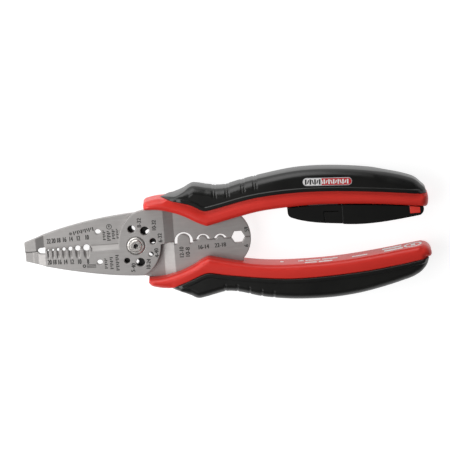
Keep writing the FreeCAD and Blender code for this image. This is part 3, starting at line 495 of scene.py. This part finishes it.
LOWER_RIBS = (46.5, 53.0, 59.5, 66.0, 72.5)


def handle_line(runs, trim_x=None, passes=6):
    """One long line of a handle, sampled at the grid's rows."""
    front = smooth_line(runs[0])
    if trim_x is not None:
        front = front[front[:, 0] >= trim_x]
    front = resample(front, FRONT_STATIONS)
    rear = resample(smooth_line(runs[1]), REAR_STATIONS)
    return soften(np.vstack([front, rear[1:]]), passes)


def grid_between(low, high, across):
    """Plan grid that runs from one line to the other."""
    return low[:, None, :] * (1 - across[None, :, None]) + high[:, None, :] * across[None, :, None]


def bulge_ends(plan, front, rear, reach=4.0):
    """Rounds the two ends of a plan grid outwards."""
    rows, columns, _ = plan.shape
    bow = 4 * np.linspace(0, 1, columns) * (1 - np.linspace(0, 1, columns))
    middle = plan[:, columns // 2, 0]
    near_front = smooth_step(middle[0] + reach - middle, 0, reach)
    near_rear = smooth_step(middle - middle[-1] + reach, 0, reach)
    plan = plan.copy()
    plan[..., 0] += rear * near_rear[:, None] * bow - front * near_front[:, None] * bow
    return plan


def core_mesh(name, inner, seam, end_bulge, seam_dip):
    """The hard red moulding: rounded along its inner edge and ends, dipping a little to the seam."""
    across = (1 - np.cos(np.linspace(0, math.pi, CORE_COLUMNS))) / 2
    plan = bulge_ends(grid_between(inner, seam, across), 0.3, end_bulge)
    flat = plan.reshape(-1, 2)
    drop = round_off(distance(flat, plan[:, 0]), CORE_EDGE_RADIUS)
    drop = np.maximum(drop, round_off(distance(flat, plan[0]), CORE_FRONT_RADIUS))
    drop = np.maximum(drop, round_off(distance(flat, plan[-1]), CORE_REAR_RADIUS))
    seam_away = distance(flat, plan[:, -1])
    bare = 1 - smooth_step(flat[:, 0], SEAM_START_X - 1.0, SEAM_START_X + 5.0)
    drop = np.maximum(drop, round_off(seam_away, CORE_TIP_RADIUS) * bare)
    drop = np.maximum(drop, GROOVE_DEPTH * (1 - smooth_step(seam_away, 0.0, 0.45)))
    drop = np.maximum(drop, seam_dip * (1 - smooth_step(seam_away, 0.4, 3.8)))
    crown = CORE_CROWN * (2 * np.tile(across, len(plan)) - 1) ** 2
    height = (HALF_GRIP - crown - drop).reshape(plan.shape[:2])
    return slab_mesh(name, plan, height)


class GripSurface:
    """The side surface of a rubber grip between its seam and its back; end_radius rounds the far end."""

    def __init__(self, seam, back, end_radius):
        self.seam = seam
        self.back = back
        self.end_radius = end_radius
        self.width = np.linalg.norm(back - seam, axis=1)

    def height(self, points):
        """Half thickness of the grip at plan points."""
        row = np.abs(points[:, None, 0] - self.back[None, :, 0]).argmin(1)
        width = self.width[row]
        radius = np.clip(0.5 * width - 0.4, 1.2, GRIP_MAX_RADIUS)
        front = 1 - smooth_step(points[:, 0], *GRIP_FRONT_STRETCH)
        end = smooth_step(points[:, 0], *GRIP_END_STRETCH)
        radius = np.maximum(radius, np.maximum(GRIP_FRONT_RADIUS * front, self.end_radius * end))
        drop = round_off(distance(points, self.back), radius, 1.5)
        drop += GRIP_TIP_DROP * (1 - smooth_step(points[:, 0], SEAM_START_X - 0.4, SEAM_START_X + 5.0))
        seam_away = distance(points, self.seam)
        rim = RIM_RISE * smooth_step(seam_away, 0.05, 0.5) * (1 - smooth_step(seam_away, *RIM_EDGE))
        rim *= smooth_step(width, 3.0, 5.0) * (1 - smooth_step(drop, 0.3, 2.0))
        groove = GRIP_GROOVE_DEPTH * (1 - smooth_step(seam_away, 0.0, 0.3))
        return HALF_GRIP - drop + rim - groove


def grip_mesh(name, surface, side, ribs):
    """The soft grip, with a raised rim along the seam and grooves across its back at ribs."""
    fraction = np.linspace(0, 1, GRIP_COLUMNS)
    across = 0.35 * fraction + 0.65 * np.sin(fraction * math.pi / 2) ** 1.5
    plan = grid_between(surface.seam, surface.back, across)
    flat = plan.reshape(-1, 2).copy()
    height = surface.height(flat)
    reach = 1 - smooth_step(distance(flat, surface.back), 3.0, 5.5)
    cut = np.zeros(len(flat))
    for rib_x in ribs:
        rib = 1 - smooth_step(np.abs(flat[:, 0] - rib_x), 0.2, 0.65)
        cut = np.maximum(cut, RIB_DEPTH * rib * reach)
    flat[:, 1] -= side * cut
    return slab_mesh(name, flat.reshape(plan.shape), (height - 1.2 * cut).reshape(plan.shape[:2]))


def hollow_out(mesh, outlines):
    """Cuts blocks of (outline, half depth) out of a closed mesh and returns the result."""
    target = bpy.data.objects.new("hollow_target", mesh)
    bpy.context.scene.collection.objects.link(target)
    cutters = []
    for outline, half_depth in outlines:
        block = prism(outline, -half_depth, half_depth)
        cutter = bpy.data.objects.new("cutter", to_mesh("cutter", block))
        bpy.context.scene.collection.objects.link(cutter)
        cutters.append(cutter)
        step = target.modifiers.new("cut", "BOOLEAN")
        step.operation = "DIFFERENCE"
        step.solver = "EXACT"
        step.object = cutter
    bpy.context.view_layer.update()
    depsgraph = bpy.context.evaluated_depsgraph_get()
    result = bpy.data.meshes.new_from_object(target.evaluated_get(depsgraph))
    for item in [target] + cutters:
        bpy.data.objects.remove(item)
    return result


# The detector compartment: room for the cells, room for the board and a slot through the wall between
CELL_BAY = [(86.0, 5.0), (111.0, 5.0), (111.0, 21.8), (86.0, 21.8)]
BOARD_BAY = [(112.2, 5.0), (154.0, 5.0), (154.0, 16.4), (140.0, 18.4), (112.2, 20.4)]
PARTITION_NOTCH = [(110.5, 5.0), (112.7, 5.0), (112.7, 17.7), (110.5, 17.7)]
BAY_HALF_WIDTH = 6.3
NOTCH_HALF_WIDTH = 3.2

upper_inner = handle_line(UPPER_INNER)
upper_seam = handle_line(UPPER_SEAM)
upper_seam_rubber = handle_line(UPPER_SEAM, SEAM_START_X)
upper_back = handle_line(UPPER_BACK, passes=3)
lower_inner = handle_line(LOWER_INNER)
lower_seam = handle_line(LOWER_SEAM)
lower_seam_rubber = handle_line(LOWER_SEAM, SEAM_START_X + 0.5)
lower_back = handle_line(LOWER_BACK, passes=3)


def make_handles():
    """Makes both red mouldings, the upper one hollowed for the detector."""
    upper = core_mesh("upper_handle_moulding", upper_inner, upper_seam, UPPER_CORE_BULGE, UPPER_SEAM_DIP)
    upper = hollow_out(upper, [(CELL_BAY, BAY_HALF_WIDTH), (BOARD_BAY, BAY_HALF_WIDTH),
                               (PARTITION_NOTCH, NOTCH_HALF_WIDTH)])
    shade(upper)
    piece = make_object("upper_handle_moulding", upper, MATERIALS["handle_red"], UPPER)
    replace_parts(piece, "upper_handle_core")
    lower = core_mesh("lower_handle_moulding", lower_inner, lower_seam, LOWER_CORE_BULGE, LOWER_SEAM_DIP)
    shade(lower)
    piece = make_object("lower_handle_moulding", lower, MATERIALS["handle_red"], LOWER)
    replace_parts(piece, "lower_handle_core")


def make_grips():
    """Makes both rubber grips and returns their side surfaces."""
    surfaces = {"upper_grip": GripSurface(upper_seam_rubber, upper_back, UPPER_END_RADIUS),
                "lower_grip": GripSurface(lower_seam_rubber, lower_back, LOWER_END_RADIUS)}
    for name, node, body, side, ribs in (("upper_rubber_grip", "upper_grip", UPPER, 1, UPPER_RIBS),
                                         ("lower_rubber_grip", "lower_grip", LOWER, -1, LOWER_RIBS)):
        mesh = grip_mesh(name, surfaces[node], side, ribs)
        shade(mesh, 50.0)
        piece = make_object(name, mesh, MATERIALS["grip_rubber"], body)
        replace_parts(piece, node)
    return surfaces


FOAM = [(97.5, 9.4), (102.6, 8.2), (110.4, 7.4), (110.4, 9.8), (97.5, 9.8)]
FOAM_HALF_WIDTH = 5.9
SEAL = [(112.14, 5.3), (112.42, 5.25), (112.42, 15.2), (112.14, 15.2)]
SEAL_HALF_WIDTH = 7.4


def make_pads():
    """Foam in the battery door that holds the cells down, and the seal between door and cover."""
    for name, outline, half_depth, body in (("battery_door_foam", FOAM, FOAM_HALF_WIDTH, DOOR),
                                            ("cover_seal", SEAL, SEAL_HALF_WIDTH, UPPER)):
        mesh = to_mesh(name, prism(outline, -half_depth, half_depth))
        make_object(name, mesh, MATERIALS["chip_black"], body)


make_handles()
grip_surfaces = make_grips()
make_pads()

# ---------------------------------------------------------------------------------------------------
# Markings: standard wire and thread sizes and plain symbols, and painted shade in the bolt's socket
# ---------------------------------------------------------------------------------------------------

INK_THICKNESS = 0.02
INK_LIFT = 0.005                   # clearance that keeps a mark off the face below it

# Plain strokes in place of lettering: these take turns along a row
STROKE_SHARES = (1.0, 0.62, 1.0, 0.8)              # of the row's height
STROKE_WIDTHS = (0.62, 0.5)
STROKE_LEANS = (90, 74, 90, 106)                   # degrees from the row


class Marks:
    """Collects flat marks for one piece, as thin solids just above a surface."""

    def __init__(self):
        self.mesh = bmesh.new()

    def add(self, part, matrix=None):
        """Adds a bmesh, moved by a matrix, and frees it."""
        if matrix is not None:
            part.transform(matrix)
        joined = to_mesh("mark", part)
        self.mesh.from_mesh(joined)
        bpy.data.meshes.remove(joined)

    def place(self, x, y, z, turn=0.0):
        """Matrix that lays a flat mark on a face at a plan point."""
        spin = Matrix.Rotation(math.radians(turn), 4, "Z")
        return Matrix.Translation(to_world(x, y, z + INK_THICKNESS / 2 + INK_LIFT)) @ spin

    def text(self, words, x, y, z, size, narrow, turn=0.0):
        """A short label centred on a plan point, narrowed by a factor and turned by degrees."""
        data = bpy.data.curves.new("label", "FONT")
        data.body = words
        data.size = size * MM
        data.extrude = INK_THICKNESS / 2 * MM
        data.align_x = "CENTER"
        data.align_y = "CENTER"
        holder = bpy.data.objects.new("label", data)
        bpy.context.scene.collection.objects.link(holder)
        bpy.context.view_layer.update()
        mesh = bpy.data.meshes.new_from_object(holder.evaluated_get(bpy.context.evaluated_depsgraph_get()))
        for step, lift in ((-1, 0.0), (0, 0.003), (1, 0.006)):      # bolder by three close copies
            aside = Matrix.Translation((0.04 * size * step * MM, 0, 0))
            letter = bmesh.new()
            letter.from_mesh(mesh)
            self.add(letter, self.place(x, y, z + lift, turn) @ aside @ Matrix.Scale(narrow, 4, (1, 0, 0)))
        bpy.data.objects.remove(holder)
        bpy.data.curves.remove(data)

    def bar(self, x, y, z, length, width, turn=0.0):
        """A small rectangular stroke."""
        made = bmesh.new()
        bmesh.ops.create_cube(made, size=1.0)
        made.transform(Matrix.Diagonal((length * MM, width * MM, INK_THICKNESS * MM, 1)))
        self.add(made, self.place(x, y, z, turn))

    def dot(self, x, y, z, radius):
        """A filled disc."""
        made = bmesh.new()
        bmesh.ops.create_cone(made, cap_ends=True, segments=28, radius1=radius * MM, radius2=radius * MM,
                              depth=INK_THICKNESS * MM)
        self.add(made, self.place(x, y, z))

    def ring(self, x, y, z, outer, inner):
        """A round outline."""
        made = bmesh.new()
        turns = [math.radians(10 * k) for k in range(36)]
        loops = []
        for radius, height in ((outer, 0), (inner, 0), (inner, INK_THICKNESS), (outer, INK_THICKNESS)):
            loops.append([made.verts.new(to_world(x + radius * math.cos(a), y + radius * math.sin(a),
                                                  z + INK_LIFT + height)) for a in turns])
        for first, second in zip(loops, loops[1:] + loops[:1]):
            for k in range(len(turns)):
                n = (k + 1) % len(turns)
                made.faces.new((first[k], first[n], second[n], second[k]))
        bmesh.ops.recalc_face_normals(made, faces=made.faces)
        self.add(made)

    def strokes(self, x, y, z, length, height, turn, pitch):
        """A row of short upright strokes, centred on a plan point and turned by degrees."""
        way = math.radians(turn)
        count = int(length / pitch)
        for k in range(count):
            along = (k - (count - 1) / 2) * pitch
            share = STROKE_SHARES[k % 4]
            aside = (1 - share) * height * (0.5 if k % 2 else -0.5)
            self.bar(x + along * math.cos(way) - aside * math.sin(way),
                     y + along * math.sin(way) + aside * math.cos(way), z, height * share,
                     STROKE_WIDTHS[k % 2], turn + STROKE_LEANS[k % 4])

    def flash(self, x, y, z, size):
        """A lightning symbol."""
        outline = [(-0.1, 1.0), (-0.55, -0.1), (-0.08, -0.1), (-0.3, -1.0), (0.55, 0.22), (0.1, 0.22),
                   (0.45, 1.0)]
        outline = [(x + size * a, y + size * b) for a, b in outline]
        self.add(prism(outline, z + INK_LIFT, z + INK_LIFT + INK_THICKNESS))

    def finish(self, name, material, body):
        """Makes the collected marks one piece."""
        return make_object(name, to_mesh(name, self.mesh), material, body)


# The stripping notches along the jaws, and the wire size of each
STATION_X = (-47.6, -45.0, -42.3, -39.1, -35.6, -31.6, -26.9)
STRANDED = ("22", "20", "18", "16", "14", "12", "10")
SOLID = ("20", "18", "16", "14", "12", "10", "8")
SIZE_HEIGHT = 3.8
SIZE_NARROW = 0.56

BUNDLE_X, BUNDLE_Y = -34.9, 8.5    # end view of a stranded wire
STRAND_RADIUS = 0.28
STRAND_CIRCLE = 0.62
SOLID_WIRE_X = -24.9               # a solid wire seen from the side, as three lines
SOLID_WIRE_LENGTH = 5.0
WARNING_X, WARNING_Y = -13.9, 10.9

# Columns of strokes beside the loop holes: plan point, length and height
REAR_COLUMNS = ((-16.9, 6.4, 6.0, 1.5), (-14.4, 5.9, 6.6, 2.0), (-11.8, 6.6, 6.0, 1.7),
                (-9.7, 6.8, 6.0, 1.2))
FRONT_COLUMNS = ((-16.9, -8.6, 6.6, 1.6), (-13.9, -8.6, 7.8, 1.7), (-10.7, -8.6, 9.6, 1.8))

# Labels: words, plan point, narrowing and turn
SCREW_LABELS = (("8-32", 2.7, 12.6, 0.9, 88), ("10-32", 10.6, 10.5, 0.82, 88),
                ("6-32", 13.4, 3.5, 0.88, 92), ("4-40", 10.9, -4.7, 0.86, 92),
                ("10-24", 6.1, -10.7, 0.8, 84), ("5-40", -2.2, -12.0, 0.84, 82))
CRIMP_LABELS = (("12-10", 24.4, -5.8, 0.82, 88), ("10-8", 27.7, -6.0, 0.95, 88),
                ("16-14", 36.2, -3.7, 0.8, 2), ("22-18", 45.4, -3.3, 0.8, 2))
CRIMP_LABEL_HEIGHT = 3.3
LABEL_HEIGHT = 3.2


def mark_jaws():
    """Wire sizes, symbols and strokes on both jaws, and screw sizes round the pivot."""
    rear = Marks()
    front = Marks()
    for index, x in enumerate(STATION_X):
        share = (x - STATION_X[0]) / (STATION_X[-1] - STATION_X[0])
        rear.text(STRANDED[index], x + 0.6, 5.1 + 0.7 * share, REAR_JAW_Z, SIZE_HEIGHT, SIZE_NARROW)
        front.text(SOLID[index], x + 0.4, -5.8 - 1.1 * share, FRONT_FACE_Z, SIZE_HEIGHT, SIZE_NARROW)
    # a twisted bundle for stranded wire, a plain bar for solid wire
    for k in range(6):
        way = math.radians(60 * k)
        rear.dot(BUNDLE_X + STRAND_CIRCLE * math.cos(way), BUNDLE_Y + STRAND_CIRCLE * math.sin(way),
                 REAR_JAW_Z, STRAND_RADIUS)
    rear.dot(BUNDLE_X, BUNDLE_Y, REAR_JAW_Z, STRAND_RADIUS)
    rear.strokes(-27.9, 9.5, REAR_JAW_Z, length=11.6, height=2.1, turn=9, pitch=1.05)
    front.ring(-28.7, -9.2, FRONT_FACE_Z, outer=0.95, inner=0.4)
    for y, width in ((-9.4, 0.5), (-8.6, 0.3), (-10.2, 0.3)):
        front.bar(SOLID_WIRE_X, y, FRONT_FACE_Z, SOLID_WIRE_LENGTH, width, turn=-2)
    # panels beside the loop holes
    rear.ring(WARNING_X, WARNING_Y, REAR_JAW_Z, outer=1.5, inner=1.15)
    rear.flash(WARNING_X, WARNING_Y, REAR_JAW_Z, size=0.95)
    for x, y, length, height in REAR_COLUMNS:
        rear.strokes(x, y, REAR_JAW_Z, length, height, turn=90, pitch=0.95)
    for x, y, length, height in FRONT_COLUMNS:
        front.strokes(x, y, FRONT_FACE_Z, length, height, turn=90, pitch=1.0)
    rear.finish("rear_jaw_marks", ETCH, LOWER)
    for words, x, y, narrow, turn in SCREW_LABELS:
        front.text(words, x, y, FRONT_FACE_Z, LABEL_HEIGHT, narrow, turn)
    front.finish("front_jaw_marks", ETCH, UPPER)


def mark_crimper():
    """Wire sizes beside the crimp nests, and a number on each plate at the crimper's far end."""
    rear = Marks()
    for words, x, y, narrow, turn in CRIMP_LABELS:
        rear.text(words, x, y, CRIMP_FACE_Z, CRIMP_LABEL_HEIGHT, narrow, turn)
    rear.text("6", 59.5, -4.6, CRIMP_FACE_Z, LABEL_HEIGHT, 0.85, 84)
    rear.finish("rear_crimp_marks", ETCH, LOWER)
    front = Marks()
    front.text("59", 60.2, 4.5, CRIMP_FACE_Z, LABEL_HEIGHT, 0.85, 96)
    front.finish("front_crimp_marks", ETCH, UPPER)


def paint_socket_shade():
    """A dark disc at the bottom of the bolt's socket: painted shade."""
    socket_shade_disc = Marks()
    socket_shade_disc.dot(0, 0, BOLT_SOCKET_FLOOR_Z, 1.22)
    socket_shade_disc.finish("socket_painted_shade", DARK_INK_AND_SOCKET_SHADE, LOWER)


mark_jaws()
mark_crimper()
paint_socket_shade()


# White print on the lower handle's inner face: boxes as (x0, x1, z0, z1), and an oval ring
PRINT_BOXES = ((77.0, 78.8, -1.4, 0.6), (86.7, 89.7, -1.6, 0.4), (90.7, 98.7, -1.6, 0.4),
               (99.7, 108.2, -1.6, 0.4), (90.2, 96.7, 3.0, 5.0), (97.9, 105.2, 3.0, 5.0),
               (116.0, 124.2, 1.2, 3.2), (132.5, 143.0, -3.6, -0.8), (133.5, 143.5, 1.0, 4.0),
               (148.1, 150.4, -1.6, 2.4))
OVAL_X, OVAL_Z = 149.2, 0.4
OVAL_OUTER = (4.9, 4.6)
OVAL_INNER = (3.7, 3.5)
PRINT_RISE = 0.03
PRINT_SINK = 0.05


def mark_inner_face():
    """White strokes and an oval ring on the lower handle's inner face."""
    marks = bmesh.new()

    def face_y(x):
        return float(np.interp(x, lower_inner[FRONT_STATIONS:, 0], lower_inner[FRONT_STATIONS:, 1]))

    def patch(ring):
        upper = [marks.verts.new(to_world(x, face_y(x) + PRINT_RISE, z)) for x, z in ring]
        under = [marks.verts.new(to_world(x, face_y(x) - PRINT_SINK, z)) for x, z in ring]
        close_rings(marks, under, upper)

    def oval(size, turns):
        return [(OVAL_X + size[0] * math.cos(a), OVAL_Z + size[1] * math.sin(a)) for a in turns]

    for x0, x1, z0, z1 in PRINT_BOXES:
        along = np.linspace(x0, x1, 12)
        patch([(x, z0) for x in along] + [(x, z1) for x in along[::-1]])
    turns = [math.radians(9 * k) for k in range(41)]
    for start in range(0, 40, 5):                   # in eight pieces, which are joined below
        part = turns[start:start + 6]
        patch(oval(OVAL_OUTER, part) + oval(OVAL_INNER, part[::-1]))
    bmesh.ops.remove_doubles(marks, verts=marks.verts, dist=1e-7)
    bmesh.ops.recalc_face_normals(marks, faces=marks.faces)
    make_object("inner_face_print", to_mesh("inner_face_print", marks), WHITE_INK, LOWER)


mark_inner_face()

# ---------------------------------------------------------------------------------------------------
# Badge: a two-tone pill that follows the grip's side
# ---------------------------------------------------------------------------------------------------

BADGE_CENTRE = (105.3, 29.2)
BADGE_LENGTH = 26.5
BADGE_WIDTH = 4.3
BADGE_TURN = -2.8
BADGE_SINK = 0.15                  # how far each panel reaches into the rubber
BADGE_SPLIT = 0.38                 # where the light panel ends, as a share of the length
PANEL_INSET = 0.3                  # width of the silver rim round both panels
STROKE_COUNT = 19
STROKE_PITCH = 1.25
FIRST_STROKE = -11.6               # from the badge's middle
LAST_DARK_STROKE = -3.6            # strokes before this are dark, on the light panel
BADGE_STROKE_SHARES = (1.0, 0.7, 1.0, 0.85)
BADGE_STROKE_WIDTHS = (0.85, 0.6)
BADGE_STROKE_LEANS = (90, 72, 90, 108)
RIM_LIFT, PANEL_LIFT, STROKE_LIFT = 0.16, 0.22, 0.24               # above the rubber


def badge_panel(name, start, end, inset, lift, material):
    """Part of the pill from start to end (0-1 along it), shrunk by inset and raised by lift."""
    columns, rows = 90, 12
    half_length = BADGE_LENGTH / 2 - inset
    half_width = BADGE_WIDTH / 2 - inset
    along = half_length * (2 * np.linspace(start, end, columns) - 1)
    past = np.maximum(np.abs(along) - (half_length - half_width), 0)
    reach = np.sqrt(np.maximum(half_width ** 2 - past ** 2, 1e-4))
    across = np.linspace(-1, 1, rows)
    plan = np.stack([np.repeat(along[:, None], rows, 1), reach[:, None] * across[None, :]], -1)
    turn = math.radians(BADGE_TURN)
    spin = np.array([[math.cos(turn), -math.sin(turn)], [math.sin(turn), math.cos(turn)]])
    plan = plan @ spin.T + BADGE_CENTRE
    height = grip_surfaces["upper_grip"].height(plan.reshape(-1, 2)) + lift
    top = np.concatenate([plan.reshape(-1, 2), height[:, None]], 1)
    mesh = solid_between(name, top, top - (0, 0, lift + BADGE_SINK), columns, rows)
    shade(mesh, 35.0)
    return make_object(name, mesh, material, UPPER)


def make_badge():
    """The rim, two panels and a row of plain strokes in place of lettering."""
    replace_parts(badge_panel("badge_rim", 0.0, 1.0, 0.0, RIM_LIFT, BADGE_SILVER), "grip_badge")
    badge_panel("badge_left_panel", 0.0, BADGE_SPLIT, PANEL_INSET, PANEL_LIFT, WHITE_INK)
    badge_panel("badge_right_panel", BADGE_SPLIT, 1.0, PANEL_INSET, PANEL_LIFT, BADGE_RED)
    dark = Marks()
    white = Marks()
    turn = math.radians(BADGE_TURN)
    for k in range(STROKE_COUNT):
        along = FIRST_STROKE + STROKE_PITCH * k
        x = BADGE_CENTRE[0] + along * math.cos(turn)
        y = BADGE_CENTRE[1] + along * math.sin(turn)
        z = float(grip_surfaces["upper_grip"].height(np.array([[x, y]]))[0]) + STROKE_LIFT
        marks, height = (dark, 2.9) if along < LAST_DARK_STROKE else (white, 2.6)
        marks.bar(x, y, z, height * BADGE_STROKE_SHARES[k % 4], BADGE_STROKE_WIDTHS[k % 2],
                  BADGE_TURN + BADGE_STROKE_LEANS[k % 4])
    dark.finish("badge_dark_marks", DARK_INK_AND_SOCKET_SHADE, UPPER)
    white.finish("badge_white_marks", WHITE_INK, UPPER)


make_badge()

# ---------------------------------------------------------------------------------------------------
# CAD parts that are shown as they are
# ---------------------------------------------------------------------------------------------------

slots = {row["node"]: row["material_slot"] for row in frame["record"]["subparts"]}
for node, piece in frame["nodes"].items():
    material = MATERIALS.get(slots[node])
    if material is None:
        continue
    for holder in piece.material_slots:
        holder.material = REAR_STEEL_PIVOT_SHADE if node == "rear_blade" else material

# ---------------------------------------------------------------------------------------------------
# Floor, light and camera
# ---------------------------------------------------------------------------------------------------

FLOOR_Z = -0.6                     # just under the proud bands of the grips, mm
FLOOR_GLOW = 0.84
WORLD_STRENGTH = 0.13
CAMERA_TILT = math.radians(13.0)   # leans towards the detector handle
CAMERA_ROLL = math.radians(4.2)    # the tool lies turned in the view
CAMERA_DISTANCE = 2.025            # metres
CAMERA_LENS = 300.0
CAMERA_TARGET = (48.7, 7.3, 0.0)   # plan point in the middle of the view


def make_floor():
    """A pale sheet that glows a little, so that it shows nearly white."""
    shader = Shader("pale_floor", Roughness=0.9, Emission_Strength=FLOOR_GLOW)
    shader.surface.inputs["Emission Color"].default_value = (1, 1, 1, 1)
    tone = shader.noise(6.0, 3.0)
    shader.colour(shader.ramp(tone, [(0.3, (0.34, 0.34, 0.34)), (0.7, (0.36, 0.36, 0.36))]))
    bpy.ops.mesh.primitive_plane_add(size=6.0, location=(0, 0, FLOOR_Z * MM))
    floor = bpy.context.object
    floor.name = "floor"
    floor.data.materials.append(shader.material)


def soft_light(name, place, target, size, power):
    """A rectangular lamp that faces its target; metres and watts."""
    data = bpy.data.lights.new(name, "AREA")
    data.shape = "RECTANGLE"
    data.size, data.size_y = size
    data.energy = power
    lamp = bpy.data.objects.new(name, data)
    bpy.context.scene.collection.objects.link(lamp)
    lamp.location = place
    lamp.rotation_mode = "QUATERNION"
    lamp.rotation_quaternion = (Vector(place) - Vector(target)).to_track_quat("Z", "Y")


def make_light():
    """A dim even surround, a lamp over the head and a large panel behind."""
    world = bpy.data.worlds.new("studio")
    world.use_nodes = True
    world.node_tree.nodes["Background"].inputs["Color"].default_value = (0.93, 0.94, 0.96, 1)
    world.node_tree.nodes["Background"].inputs["Strength"].default_value = WORLD_STRENGTH
    bpy.context.scene.world = world
    soft_light("key", place=(-0.34, -0.03, 0.33), target=(0, 0, 0), size=(0.5, 0.5), power=2.6)
    soft_light("back_panel", place=(-0.30, 0.75, 0.28), target=(0.03, 0, 0), size=(1.0, 0.55), power=5.0)


def make_camera():
    data = bpy.data.cameras.new("camera")
    data.lens = CAMERA_LENS
    data.sensor_width = 36.0
    data.clip_start = 0.05
    camera = bpy.data.objects.new("camera", data)
    bpy.context.scene.collection.objects.link(camera)
    right = Vector((math.cos(CAMERA_ROLL), -math.sin(CAMERA_ROLL), 0))
    away = Vector((math.sin(CAMERA_ROLL), math.cos(CAMERA_ROLL), 0))
    back = away * math.sin(CAMERA_TILT) + Vector((0, 0, math.cos(CAMERA_TILT)))
    up = back.cross(right)
    camera.matrix_world = Matrix.Translation(to_world(*CAMERA_TARGET) + back * CAMERA_DISTANCE) @ Matrix(
        (right, up, back)).transposed().to_4x4()
    bpy.context.scene.camera = camera


make_floor()
make_light()
make_camera()
bpy.context.scene.view_settings.view_transform = "Standard"
